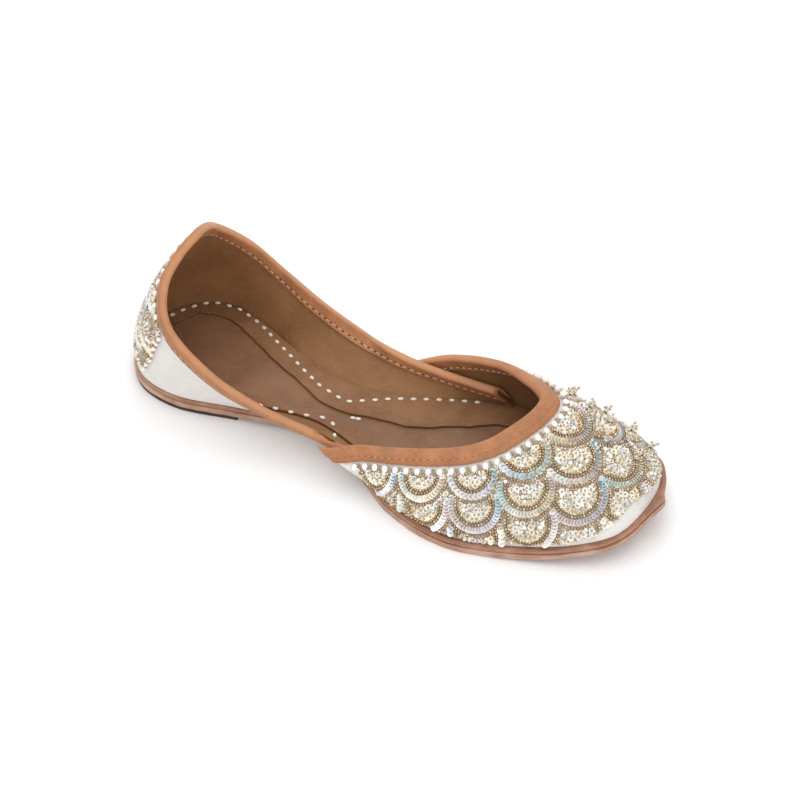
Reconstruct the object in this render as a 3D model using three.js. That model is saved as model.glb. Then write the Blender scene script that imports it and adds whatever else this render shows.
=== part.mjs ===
// Right-foot mojari slip-on shoe: leather sole in two layers with a heel lift, an embroidered vamp laid
// over the front ends of one-piece quarters, rolled bindings along both top edges, and a stitched footbed.
// Millimetres. +X points to the toe, +Y to the medial (big toe) side, +Z up from the floor.
import * as THREE from "three";
import { mergeVertices } from "three/addons/utils/BufferGeometryUtils.js";

// Driving dimensions
const SOLE_LENGTH = 243.5; // heel back to toe, without the nose
const BALL_WIDTH = 88; // widest part of the sole
const HEEL_HEIGHT = 66.8; // back of the quarters above the sole
const INSTEP_HEIGHT = 34; // throat of the vamp above the sole
const NOSE_REACH = 3.2; // small leather nose in front of the toe
const NOSE_WIDTH = 11;
const NOSE_CURL = 0.8; // rise for each millimetre forward
const TOE_SPRING = 10; // the toe end's height off the floor

// Leather thicknesses
const OUTSOLE_THICKNESS = 2.5;
const MIDSOLE_THICKNESS = 2.0;
const INSOLE_THICKNESS = 1.2;
const MARGIN_THICKNESS = 0.9;
const LIFT_THICKNESS = 1.6;
const WALL = 1.6; // upper leather with its lining
const BINDING_THICKNESS = 0.8;
const BEADWORK_THICKNESS = 1.3;
const CLEARANCE = 0.3; // between pieces that touch
const BEADWORK_CLEARANCE = 0.45; // under the beadwork, which bends both ways

// Edges and overlaps
const HEEL_LEDGE = 1.0; // sole standing out beyond the upper at the heel
const BALL_LEDGE = 2.6; // the same along the forefoot
const LEDGE_START = 0.3; // share of the length where the ledge begins to widen, and the share it takes
const LEDGE_EASE = 0.3;
const MIDSOLE_SETBACK = 0.5; // step between the two sole layers
const EDGE_CHAMFER = 0.6;
const INSOLE_CHAMFER = 0.2;
const LIFT_LENGTH = 60; // heel lift, from the heel back
const BINDING_DEPTH = 7.4; // turned down over the outside
const BINDING_LINING_DEPTH = 6.2; // turned down over the inside
const BEADWORK_MARGIN = 1.0; // bare leather between beadwork and binding
const BEADWORK_LOW = 0.1; // lower edge of the vamp's beadwork, as a share of the wall's height
const BEADWORK_TOE_LIFT = 0.05; // it rises by this share over the toe
const BEADWORK_TOE_SPAN = 0.06; // share of the rim where it does
const BEADWORK_END = 0.012; // share of the rim left bare at each wing

// Places round the rim, as shares of its length from the heel back, by the lateral side to the toe and back
const LATERAL_WING = 0.27; // rear end of the vamp, lateral
const MEDIAL_WING = 0.73; // rear end of the vamp, medial
const LATERAL_TUCK = 0.333; // front end of the quarters inside the vamp, lateral
const MEDIAL_TUCK = 0.672;
const WING_ROUNDING = 0.04; // run in which the vamp's top line rounds down at a wing
const WING_DROP = 0.12; // the drop there, as a share of the wall's height
const TUCK_EASE = 0.07; // run in which the quarters' foot moves in under the vamp
const TUCK_INSET = 3.2; // how far it moves
const LOW_WALL = [0, 0.04, 0.08, 0.12, 0.16, 0.24, 0.32, 0.4]; // where the wall is measured for the footbed
const LOW_WALL_REACH = 1; // how far above the footbed they count
const NORMAL_SPAN = 0.004; // share of the rim over which the wall's direction is taken, to either side
const TOP_STEP = 0.02; // share of the wall over which a length along it is measured

// Lengths along the shoe where the sole bends, as shares of its length
const SPRING_START = 0.72;
const ARCH_START = 0.54;

// Meshing
const RIM_STEPS = 84;
const VAMP_STEPS = 52;
const QUARTER_STEPS = 66;
const WALL_STEPS = 8;
const BEADWORK_RIM_STEPS = 42;
const BEADWORK_WALL_STEPS = 6;
const HEEL_PATCH_STEPS = 24;

// Sole outline, heel back first, lateral side to the toe, then back along the medial side.
// along: share of SOLE_LENGTH from the heel back; across: share of BALL_WIDTH, medial positive.
const OUTLINE = [
  { along: 0.0, across: 0.148 },
  { along: 0.012, across: -0.003 },
  { along: 0.055, across: -0.148 },
  { along: 0.131, across: -0.209 },
  { along: 0.246, across: -0.163 },
  { along: 0.39, across: -0.114 },
  { along: 0.48, across: -0.222 },
  { along: 0.58, across: -0.42 },
  { along: 0.69, across: -0.507 },
  { along: 0.805, across: -0.458 },
  { along: 0.91, across: -0.362 },
  { along: 0.972, across: -0.243 },
  { along: 0.998, across: -0.02 },
  { along: 0.996, across: 0.165 },
  { along: 0.965, across: 0.33 },
  { along: 0.88, across: 0.452 },
  { along: 0.755, across: 0.495 },
  { along: 0.615, across: 0.463 },
  { along: 0.5, across: 0.325 },
  { along: 0.402, across: 0.25 },
  { along: 0.3, across: 0.32 },
  { along: 0.19, across: 0.46 },
  { along: 0.12, across: 0.503 },
  { along: 0.055, across: 0.445 },
  { along: 0.012, across: 0.3 },
];

// Upper, one row for each section of the wall, from its foot on the rim to the top line.
// rim: where the foot stands; along, across: where the top line passes, as in OUTLINE; heel, instep: height of
// the top line as shares of HEEL_HEIGHT and INSTEP_HEIGHT; lean, climb: how far the wall's fullest point lies
// from foot to top, in plan and in height; swell: its push outward, as a share of BALL_WIDTH.
const SECTIONS = [
  { rim: 0.0, along: 0.123, across: 0.142, heel: 0.98, instep: 0.0, lean: 0.15, climb: 0.48, swell: 0.0 },
  { rim: 0.03, along: 0.11, across: 0.025, heel: 0.91, instep: 0.0, lean: 0.16, climb: 0.48, swell: 0.005 },
  { rim: 0.06, along: 0.103, across: -0.092, heel: 0.785, instep: 0.0, lean: 0.22, climb: 0.48, swell: 0.025 },
  { rim: 0.1, along: 0.135, across: -0.232, heel: 0.59, instep: 0.0, lean: 0.4, climb: 0.48, swell: 0.05 },
  { rim: 0.14, along: 0.23, across: -0.29, heel: 0.367, instep: 0.0, lean: 0.55, climb: 0.48, swell: 0.03 },
  { rim: 0.17, along: 0.3, across: -0.301, heel: 0.275, instep: 0.0, lean: 0.6, climb: 0.48, swell: 0.02 },
  { rim: 0.205, along: 0.36, across: -0.297, heel: 0.12, instep: 0.2, lean: 0.6, climb: 0.5, swell: 0.02 },
  { rim: 0.236, along: 0.396, across: -0.305, heel: 0.02, instep: 0.36, lean: 0.55, climb: 0.5, swell: 0.02 },
  { rim: 0.27, along: 0.43, across: -0.335, heel: 0.0, instep: 0.38, lean: 0.5, climb: 0.5, swell: 0.035 },
  { rim: 0.29, along: 0.4835, across: -0.285, heel: 0.0, instep: 0.4, lean: 0.35, climb: 0.52, swell: 0.035 },
  { rim: 0.31, along: 0.545, across: -0.278, heel: 0.0, instep: 0.509, lean: 0.25, climb: 0.56, swell: 0.03 },
  { rim: 0.353, along: 0.654, across: -0.227, heel: 0.0, instep: 0.692, lean: 0.14, climb: 0.6, swell: 0.015 },
  { rim: 0.405, along: 0.724, across: -0.136, heel: 0.0, instep: 0.866, lean: 0.12, climb: 0.6, swell: 0.01 },
  { rim: 0.43, along: 0.7464, across: -0.057, heel: 0.0, instep: 0.939, lean: 0.11, climb: 0.52, swell: 0.005 },
  { rim: 0.5, along: 0.771, across: 0.12, heel: 0.0, instep: 1.0, lean: 0.1, climb: 0.48, swell: 0.0 },
  { rim: 0.54, along: 0.766, across: 0.185, heel: 0.0, instep: 0.997, lean: 0.1, climb: 0.47, swell: 0.0 },
  { rim: 0.593, along: 0.724, across: 0.284, heel: 0.0, instep: 0.933, lean: 0.12, climb: 0.49, swell: 0.01 },
  { rim: 0.65, along: 0.65, across: 0.398, heel: 0.0, instep: 0.75, lean: 0.2, climb: 0.51, swell: 0.012 },
  { rim: 0.695, along: 0.5595, across: 0.435, heel: 0.0, instep: 0.508, lean: 0.35, climb: 0.55, swell: 0.02 },
  { rim: 0.73, along: 0.465, across: 0.415, heel: 0.0, instep: 0.24, lean: 0.5, climb: 0.5, swell: 0.03 },
  { rim: 0.762, along: 0.43, across: 0.41, heel: 0.05, instep: 0.31, lean: 0.55, climb: 0.5, swell: 0.02 },
  { rim: 0.79, along: 0.381, across: 0.4375, heel: 0.12, instep: 0.2, lean: 0.6, climb: 0.5, swell: 0.02 },
  { rim: 0.827, along: 0.295, across: 0.494, heel: 0.28, instep: 0.0, lean: 0.6, climb: 0.48, swell: 0.02 },
  { rim: 0.857, along: 0.225, across: 0.535, heel: 0.375, instep: 0.0, lean: 0.55, climb: 0.48, swell: 0.03 },
  { rim: 0.9, along: 0.157, across: 0.5, heel: 0.598, instep: 0.0, lean: 0.4, climb: 0.48, swell: 0.05 },
  { rim: 0.94, along: 0.115, across: 0.375, heel: 0.8085, instep: 0.0, lean: 0.18, climb: 0.48, swell: 0.035 },
  { rim: 0.97, along: 0.118, across: 0.255, heel: 0.926, instep: 0.0, lean: 0.12, climb: 0.48, swell: 0.01 },
];

// Quarters' front ends under the vamp, in the same columns; the rows above are theirs behind these.
const QUARTER_FRONTS = [
  { rim: 0.235, along: 0.4183, across: -0.2867, heel: 0.0, instep: 0.362, lean: 0.5, climb: 0.5, swell: 0.02 },
  { rim: 0.25, along: 0.4491, across: -0.2787, heel: 0.0, instep: 0.299, lean: 0.46, climb: 0.5, swell: 0.02 },
  { rim: 0.262, along: 0.4758, across: -0.264, heel: 0.0, instep: 0.261, lean: 0.42, climb: 0.5, swell: 0.02 },
  { rim: 0.285, along: 0.5292, across: -0.289, heel: 0.0, instep: 0.22, lean: 0.38, climb: 0.5, swell: 0.015 },
  { rim: 0.31, along: 0.5928, across: -0.3378, heel: 0.0, instep: 0.203, lean: 0.35, climb: 0.5, swell: 0.01 },
  { rim: 0.333, along: 0.6585, across: -0.3776, heel: 0.0, instep: 0.209, lean: 0.35, climb: 0.5, swell: 0.01 },
  { rim: 0.672, along: 0.6544, across: 0.3928, heel: 0.0, instep: 0.306, lean: 0.35, climb: 0.5, swell: 0.01 },
  { rim: 0.69, along: 0.6092, across: 0.3838, heel: 0.0, instep: 0.332, lean: 0.38, climb: 0.5, swell: 0.01 },
  { rim: 0.71, along: 0.5559, across: 0.3747, heel: 0.0, instep: 0.365, lean: 0.42, climb: 0.5, swell: 0.015 },
  { rim: 0.728, along: 0.5066, across: 0.3701, heel: 0.0, instep: 0.395, lean: 0.46, climb: 0.5, swell: 0.02 },
  { rim: 0.745, along: 0.4655, across: 0.386, heel: 0.0, instep: 0.394, lean: 0.5, climb: 0.5, swell: 0.02 },
  { rim: 0.765, along: 0.4244, across: 0.4133, heel: 0.0, instep: 0.387, lean: 0.54, climb: 0.5, swell: 0.02 },
];

// Lining turned in over the footbed, width of the flange as a share of BALL_WIDTH.
const MARGIN_WIDTHS = [
  { rim: 0, width: 0.085 },
  { rim: 0.06, width: 0.075 },
  { rim: 0.1, width: 0.08 },
  { rim: 0.14, width: 0.06 },
  { rim: 0.17, width: 0.045 },
  { rim: 0.195, width: 0.06 },
  { rim: 0.22, width: 0.09 },
  { rim: 0.235, width: 0.092 },
  { rim: 0.258, width: 0.05 },
  { rim: 0.3, width: 0.06 },
  { rim: 0.38, width: 0.1 },
  { rim: 0.5, width: 0.14 },
  { rim: 0.62, width: 0.13 },
  { rim: 0.675, width: 0.125 },
  { rim: 0.7, width: 0.17 },
  { rim: 0.73, width: 0.187 },
  { rim: 0.76, width: 0.195 },
  { rim: 0.775, width: 0.185 },
  { rim: 0.8, width: 0.183 },
  { rim: 0.825, width: 0.14 },
  { rim: 0.86, width: 0.12 },
  { rim: 0.91, width: 0.089 },
  { rim: 0.95, width: 0.075 },
];

// Beadwork round the back of the heel: its lower edge as a share of the wall, by the share of the rim to
// either side of the heel back.
const HEEL_PATCH = [
  { beside: 0.0, low: 0.1 },
  { beside: 0.056, low: 0.12 },
  { beside: 0.064, low: 0.29 },
  { beside: 0.07, low: 0.48 },
  { beside: 0.08, low: 0.68 },
];

const smooth = (t) => THREE.MathUtils.smoothstep(t, 0, 1);
const wrap = (rim) => rim - Math.floor(rim);

// Sole outline
const heelBack = -(SOLE_LENGTH + NOSE_REACH) / 2;
const outlineCurve = new THREE.CatmullRomCurve3(
  OUTLINE.map(({ along, across }) => new THREE.Vector3(heelBack + along * SOLE_LENGTH, across * BALL_WIDTH, 0)),
  true,
  "centripetal",
);
outlineCurve.arcLengthDivisions = 800;

// Height of the sole's underside above the floor.
function underside(x) {
  const along = (x - heelBack) / SOLE_LENGTH;
  const spring = Math.max(0, (along - SPRING_START) / (1 - SPRING_START));
  const heel = (ARCH_START - along) / (ARCH_START - LIFT_LENGTH / SOLE_LENGTH);
  return TOE_SPRING * spring ** 2 + (LIFT_THICKNESS + CLEARANCE) * smooth(heel);
}

const midsoleBase = OUTSOLE_THICKNESS + CLEARANCE;
const soleTop = midsoleBase + MIDSOLE_THICKNESS;
const upperBase = soleTop + CLEARANCE;
const insoleBase = soleTop + CLEARANCE;
const marginBase = insoleBase + INSOLE_THICKNESS + CLEARANCE;

// Point of the outline at a share of the rim, moved inward by inset.
function rimPoint(rim, inset) {
  const share = wrap(rim);
  const point = outlineCurve.getPointAt(share);
  const tangent = outlineCurve.getTangentAt(share);
  return new THREE.Vector3(point.x - tangent.y * inset, point.y + tangent.x * inset, 0);
}

function outward(rim) {
  const tangent = outlineCurve.getTangentAt(wrap(rim));
  return new THREE.Vector3(tangent.y, -tangent.x, 0);
}

// Forward push of the sole's edge at the toe.
function nose(point) {
  const beside = (point.y - rimPoint(0.5, 0).y) / (NOSE_WIDTH / 2);
  return point.x > 0 ? NOSE_REACH * Math.exp(-(beside ** 2)) * smooth((point.x - heelBack) / SOLE_LENGTH) : 0;
}

// Value of a table's column at a share of the rim, smooth all the way round.
function column(rows, name, rim) {
  const share = wrap(rim);
  const count = rows.length;
  let i = count - 1;
  while (rows[i].rim > share) i -= 1;
  const at = (k) => rows[(k + count) % count].rim + Math.floor(k / count);
  const value = (k) => rows[(k + count) % count][name];
  const slope = (k) => {
    const before = (value(k) - value(k - 1)) / (at(k) - at(k - 1));
    const after = (value(k + 1) - value(k)) / (at(k + 1) - at(k));
    return (before * (at(k + 1) - at(k)) + after * (at(k) - at(k - 1))) / (at(k + 1) - at(k - 1));
  };
  const span = at(i + 1) - at(i);
  const t = (share - at(i)) / span;
  return (
    (2 * t ** 3 - 3 * t ** 2 + 1) * value(i) +
    (t ** 3 - 2 * t ** 2 + t) * span * slope(i) +
    (3 * t ** 2 - 2 * t ** 3) * value(i + 1) +
    (t ** 3 - t ** 2) * span * slope(i + 1)
  );
}

// How far in the quarters' foot stands to make room for the vamp's.
function tuck(rim) {
  const share = wrap(rim);
  const lateral = share < 0.5;
  const behind = lateral ? LATERAL_WING - share : share - MEDIAL_WING;
  const ahead = lateral ? share - LATERAL_TUCK : MEDIAL_TUCK - share;
  return TUCK_INSET * smooth(1 - behind / TUCK_EASE) * smooth(1 - ahead / TUCK_EASE);
}

function ledge(rim) {
  const along = (rimPoint(rim, 0).x - heelBack) / SOLE_LENGTH;
  return THREE.MathUtils.lerp(HEEL_LEDGE, BALL_LEDGE, smooth((along - LEDGE_START) / LEDGE_EASE));
}

// Outer surface over a table of sections: its points by the shares of the rim and of the wall's height.
function skinOver(rows, footInset) {
  return (rim, height) => {
    const foot = rimPoint(rim, footInset(rim));
    foot.z = underside(foot.x) + upperBase;
    const top = new THREE.Vector3(
      heelBack + column(rows, "along", rim) * SOLE_LENGTH,
      column(rows, "across", rim) * BALL_WIDTH,
      0,
    );
    const rise = column(rows, "heel", rim) * HEEL_HEIGHT + column(rows, "instep", rim) * INSTEP_HEIGHT;
    top.z = underside(top.x) + upperBase + rise;
    const full = foot.clone().lerp(top, column(rows, "lean", rim));
    full.z = THREE.MathUtils.lerp(foot.z, top.z, column(rows, "climb", rim));
    full.addScaledVector(outward(rim), column(rows, "swell", rim) * BALL_WIDTH);
    return foot
      .multiplyScalar((1 - height) ** 2)
      .addScaledVector(full, 2 * height * (1 - height))
      .addScaledVector(top, height ** 2);
  };
}

const vampSkin = skinOver(SECTIONS, ledge);
const quarterRows = [
  ...SECTIONS.filter(({ rim }) => rim < QUARTER_FRONTS[0].rim),
  ...QUARTER_FRONTS,
  ...SECTIONS.filter(({ rim }) => rim > QUARTER_FRONTS[QUARTER_FRONTS.length - 1].rim),
];
const quarterSkin = skinOver(quarterRows, (rim) => ledge(rim) + tuck(rim));

// Outward normal of a surface.
function normalOf(skin, rim, height) {
  const reach = 1e-3;
  const low = Math.max(0, height - reach);
  const round = skin(rim + NORMAL_SPAN, height).sub(skin(rim - NORMAL_SPAN, height));
  const up = skin(rim, height + reach).sub(skin(rim, low));
  return round.cross(up).normalize();
}

// Surface sunk inward by depth, or standing out where depth is negative; its foot stays on the sole.
function sunk(skin, rim, height, depth) {
  const point = skin(rim, height).addScaledVector(normalOf(skin, rim, height), -depth);
  point.z = Math.max(point.z, underside(point.x) + upperBase);
  return point;
}

// Closed body over rings of points, each ring turning the same way, capped by pairing its two sides.
function stack(rings) {
  const count = rings[0].length;
  const positions = rings.flat().flatMap((p) => [p.x, p.y, p.z]);
  const faces = [];
  const quad = (a, b, c, d) => faces.push(a, b, c, a, c, d);
  for (let level = 0; level + 1 < rings.length; level += 1) {
    for (let k = 0; k < count; k += 1) {
      const next = (k + 1) % count;
      quad(level * count + k, level * count + next, (level + 1) * count + next, (level + 1) * count + k);
    }
  }
  const cap = (start, flip) => {
    for (let k = 0; k < count / 2; k += 1) {
      const [a, b] = [start + k, start + k + 1];
      const [c, d] = [start + ((count - k - 1) % count), start + ((count - k) % count)];
      const corners = flip ? [d, c, b, a] : [a, b, c, d];
      if (b !== c) faces.push(corners[0], corners[1], corners[2]);
      if (a !== d) faces.push(corners[0], corners[2], corners[3]);
    }
  };
  cap(0, true);
  cap((rings.length - 1) * count, false);
  return solid(positions, faces);
}

// Pairs of points across a ring, counted from its start and from its end.
function across(count) {
  return Array.from({ length: count / 2 }, (_, k) => [k, -1 - k]);
}

// Closed body lofted through closed sections, each one an outer run and the inner run back. The ends are
// capped between pairs of points across the two runs.
function loft(sections, endless, pairs = across(sections[0].length)) {
  const count = sections[0].length;
  const positions = sections.flat().flatMap((p) => [p.x, p.y, p.z]);
  const faces = [];
  const last = sections.length - 1;
  for (let s = 0; s < (endless ? sections.length : last); s += 1) {
    const a = s * count;
    const b = ((s + 1) % sections.length) * count;
    for (let k = 0; k < count; k += 1) {
      const next = (k + 1) % count;
      faces.push(a + k, b + k, b + next, a + k, b + next, a + next);
    }
  }
  const far = last * count;
  for (let k = 0; !endless && k + 1 < pairs.length; k += 1) {
    const [[p, s], [q, r]] = [pairs[k], pairs[k + 1]].map(([out, back]) => [out, (back + count) % count]);
    if (p !== q) faces.push(p, q, r, far + p, far + r, far + q);
    if (r !== s) faces.push(p, r, s, far + p, far + s, far + r);
  }
  return solid(positions, faces);
}

function solid(positions, faces) {
  const geometry = new THREE.BufferGeometry();
  geometry.setAttribute("position", new THREE.Float32BufferAttribute(positions, 3));
  geometry.setIndex(faces);
  return mergeVertices(geometry, 1e-4);
}

// Numbers from first to last in equal steps.
function spaced(first, last, steps) {
  return Array.from({ length: steps + 1 }, (_, i) => THREE.MathUtils.lerp(first, last, i / steps));
}

// Ring of the sole's outline at one level.
function soleRing(inset, level, withNose) {
  return spaced(0, 1, RIM_STEPS)
    .slice(0, -1)
    .map((rim) => {
      const point = rimPoint(rim, inset(rim));
      const push = withNose ? nose(point) : 0;
      point.x += push;
      point.z = underside(point.x) + level + push * NOSE_CURL;
      return point;
    });
}

// Flat leather layer with chamfered edges.
function soleLayer(inset, base, thickness, chamfer, withNose) {
  return stack([
    soleRing((rim) => inset(rim) + chamfer, base, withNose),
    soleRing(inset, base + chamfer, withNose),
    soleRing(inset, base + thickness - chamfer / 2, withNose),
    soleRing((rim) => inset(rim) + chamfer / 2, base + thickness, withNose),
  ]);
}

function heelLift() {
  const front = heelBack + LIFT_LENGTH;
  const edge = spaced(0, 1, 2 * RIM_STEPS)
    .map((rim) => rimPoint(rim + 0.5, EDGE_CHAMFER / 2))
    .filter((p) => p.x < front);
  const geometry = new THREE.ExtrudeGeometry(new THREE.Shape(edge.map((p) => new THREE.Vector2(p.x, p.y))), {
    depth: LIFT_THICKNESS,
    bevelEnabled: false,
  });
  geometry.deleteAttribute("normal");
  geometry.deleteAttribute("uv");
  return mergeVertices(geometry, 1e-4);
}

// Distance inward from the outline that clears the upper's wall, up to a level above the sole.
function insideWall(rim, level) {
  const edge = rimPoint(rim, 0);
  const out = outward(rim);
  const reach = (skin, depth) => {
    const insets = LOW_WALL
      .map((height) => sunk(skin, rim, height, depth))
      .filter((p, i) => i === 0 || p.z < underside(p.x) + level + LOW_WALL_REACH)
      .map((p) => edge.clone().sub(p).setZ(0).dot(out));
    return Math.max(...insets) + CLEARANCE;
  };
  const beside = reach(vampSkin, WALL + CLEARANCE + tuck(rim));
  const share = wrap(rim);
  const open = share > LATERAL_TUCK && share < MEDIAL_TUCK;
  return open ? beside : Math.max(beside, reach(quarterSkin, WALL + CLEARANCE));
}

function insoleInset(rim) {
  return insideWall(rim, insoleBase + INSOLE_THICKNESS);
}

function liningMargin() {
  const sections = spaced(0, 1, RIM_STEPS)
    .slice(0, -1)
    .map((rim) => {
      const outer = insideWall(rim, marginBase + MARGIN_THICKNESS);
      const width = column(MARGIN_WIDTHS, "width", rim) * BALL_WIDTH;
      const at = (inset, level) => {
        const point = rimPoint(rim, inset);
        point.z = underside(point.x) + marginBase + level;
        return point;
      };
      return [
        at(outer, 0),
        at(outer, MARGIN_THICKNESS),
        at(outer + width, MARGIN_THICKNESS),
        at(outer + width, 0),
      ];
    });
  return loft(sections, true);
}

// Top line of the vamp, as a share of the wall: it rounds down at the two wings.
function vampTop(rim) {
  const run = Math.min(rim - LATERAL_WING, MEDIAL_WING - rim);
  return 1 - WING_DROP * (1 - smooth(run / WING_ROUNDING)) ** 2;
}

const quarterTop = () => 1;

// Curved wall between two heights and two depths of a surface.
function wallPiece(skin, rims, low, high, outer, inner, steps) {
  const sections = rims.map((rim) => {
    const heights = spaced(low(rim), high(rim), steps);
    return [
      ...heights.map((height) => sunk(skin, rim, height, outer)),
      ...heights.reverse().map((height) => sunk(skin, rim, height, inner)),
    ];
  });
  return loft(sections, false);
}

const vampRims = spaced(LATERAL_WING, MEDIAL_WING, VAMP_STEPS);
const quarterRims = spaced(MEDIAL_TUCK - 1, LATERAL_TUCK, QUARTER_STEPS);

function vamp() {
  return wallPiece(vampSkin, vampRims, () => 0, vampTop, 0, WALL, WALL_STEPS);
}

function quarters() {
  return wallPiece(quarterSkin, quarterRims, () => 0, quarterTop, 0, WALL, WALL_STEPS);
}

// Share of the wall's height that a length takes along the wall, just under its top line.
function shareOf(length, skin, rim, top) {
  return (length * TOP_STEP) / skin(rim, top).distanceTo(skin(rim, top - TOP_STEP));
}

// The same for a length square to the top line, which the wall's sections can cross at a slant.
function squareShareOf(length, skin, rim, topOf) {
  const top = topOf(rim);
  const edgeAt = (share) => skin(share, topOf(share));
  const edge = edgeAt(rim + NORMAL_SPAN).sub(edgeAt(rim - NORMAL_SPAN)).normalize();
  const up = skin(rim, top).sub(skin(rim, top - TOP_STEP));
  return (length * TOP_STEP) / up.cross(edge).length();
}

// Pairs of points that cap a binding's section: its outer run turns two corners more than its inner run.
const BINDING_CAP = [[0, 11], [1, 10], [2, 9], [3, 9], [4, 8], [5, 8], [6, 7]];

// Binding folded over a top line: down the outside, over the edge and down the inside.
function binding(skin, rims, topOf) {
  const sections = rims.map((rim) => {
    const top = topOf(rim);
    const outside = top - shareOf(BINDING_DEPTH, skin, rim, top);
    const inside = top - shareOf(BINDING_LINING_DEPTH, skin, rim, top);
    const rest = top + squareShareOf(CLEARANCE, skin, rim, topOf);
    const crest = rest + squareShareOf(BINDING_THICKNESS, skin, rim, topOf);
    const near = -CLEARANCE;
    const far = WALL + CLEARANCE;
    const middle = (outside + top) / 2;
    const at = (height, depth) => sunk(skin, rim, height, depth);
    return [
      at(outside, near - BINDING_THICKNESS),
      at(middle, near - BINDING_THICKNESS),
      at(rest, near - BINDING_THICKNESS),
      at(crest, near - BINDING_THICKNESS / 4),
      at(crest, far + BINDING_THICKNESS / 4),
      at(rest, far + BINDING_THICKNESS),
      at(inside, far + BINDING_THICKNESS),
      at(inside, far),
      at(rest, far),
      at(rest, near),
      at(middle, near),
      at(outside, near),
    ];
  });
  return loft(sections, false, BINDING_CAP);
}

const beadworkFace = -BEADWORK_CLEARANCE - BEADWORK_THICKNESS;

// Upper edge of the beadwork, under a binding.
function beadworkTop(rim, top) {
  return top - shareOf(BINDING_DEPTH + BEADWORK_MARGIN, vampSkin, rim, top);
}

// Raised field of beadwork between a lower edge and the binding over a top line.
function beadwork(rims, low, topOf) {
  const high = (rim) => beadworkTop(rim, topOf(rim));
  return wallPiece(vampSkin, rims, low, high, beadworkFace, -BEADWORK_CLEARANCE, BEADWORK_WALL_STEPS);
}

function vampBeadwork() {
  const rims = spaced(LATERAL_WING + BEADWORK_END, MEDIAL_WING - BEADWORK_END, BEADWORK_RIM_STEPS);
  const low = (rim) => BEADWORK_LOW + BEADWORK_TOE_LIFT * Math.exp(-(((rim - 0.5) / BEADWORK_TOE_SPAN) ** 2));
  return beadwork(rims, low, vampTop);
}

// Lower edge of the heel's patch, between the rows of its table.
function patchLow(rim) {
  const i = Math.max(1, HEEL_PATCH.findIndex(({ beside }) => beside >= Math.abs(rim) - 1e-9));
  const [before, after] = [HEEL_PATCH[i - 1], HEEL_PATCH[i]];
  const share = (Math.abs(rim) - before.beside) / (after.beside - before.beside);
  return THREE.MathUtils.lerp(before.low, after.low, share);
}

function heelBeadwork() {
  const half = HEEL_PATCH[HEEL_PATCH.length - 1].beside;
  return beadwork(spaced(-half, half, HEEL_PATCH_STEPS), patchLow, quarterTop);
}

const LEATHER = { color: 0xa8673f, roughness: 0.6, metalness: 0 };
const shoe = new THREE.Group();
const part = new THREE.Group();
part.add(shoe);

function add(name, geometry, look) {
  const mesh = new THREE.Mesh(geometry, new THREE.MeshStandardMaterial(look));
  mesh.name = name;
  shoe.add(mesh);
}

const outsole = soleLayer(() => 0, 0, OUTSOLE_THICKNESS, EDGE_CHAMFER, true);
const midsole = soleLayer(() => MIDSOLE_SETBACK, midsoleBase, MIDSOLE_THICKNESS, EDGE_CHAMFER / 2, true);
const insole = soleLayer(insoleInset, insoleBase, INSOLE_THICKNESS, INSOLE_CHAMFER, false);

add("outsole", outsole, { ...LEATHER, color: 0xb9805c });
add("midsole", midsole, LEATHER);
add("heel_lift", heelLift(), { color: 0x2a211d, roughness: 0.7, metalness: 0 });
add("insole", insole, { ...LEATHER, color: 0x9a6a48 });
add("lining_margin", liningMargin(), { ...LEATHER, color: 0x875a37 });
add("upper_quarters", quarters(), { color: 0xece6da, roughness: 0.65, metalness: 0 });
add("upper_vamp", vamp(), { color: 0xece6da, roughness: 0.65, metalness: 0 });
add("quarter_binding", binding(quarterSkin, quarterRims, quarterTop), { ...LEATHER, color: 0xc88250 });
add("vamp_binding", binding(vampSkin, vampRims, vampTop), { ...LEATHER, color: 0xc88250 });
add("vamp_beadwork", vampBeadwork(), { color: 0xcdbb92, roughness: 0.35, metalness: 0.3 });
add("heel_beadwork", heelBeadwork(), { color: 0xcdbb92, roughness: 0.35, metalness: 0.3 });

// The origin is under the middle of the whole shoe.
const box = new THREE.Box3().setFromObject(shoe);
const middle = box.getCenter(new THREE.Vector3());
shoe.position.set(-middle.x, -middle.y, -box.min.z);

export default part;
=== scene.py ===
"""Looks of a right mojari shoe: leathers, bindings, stitches and fish-scale beadwork."""

import logging
import math
from dataclasses import dataclass, field
from enum import Enum
from typing import Callable, Optional, Sequence

import bmesh
import bpy
import numpy as np
from mathutils import Matrix, Vector
from mathutils.kdtree import KDTree


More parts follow.
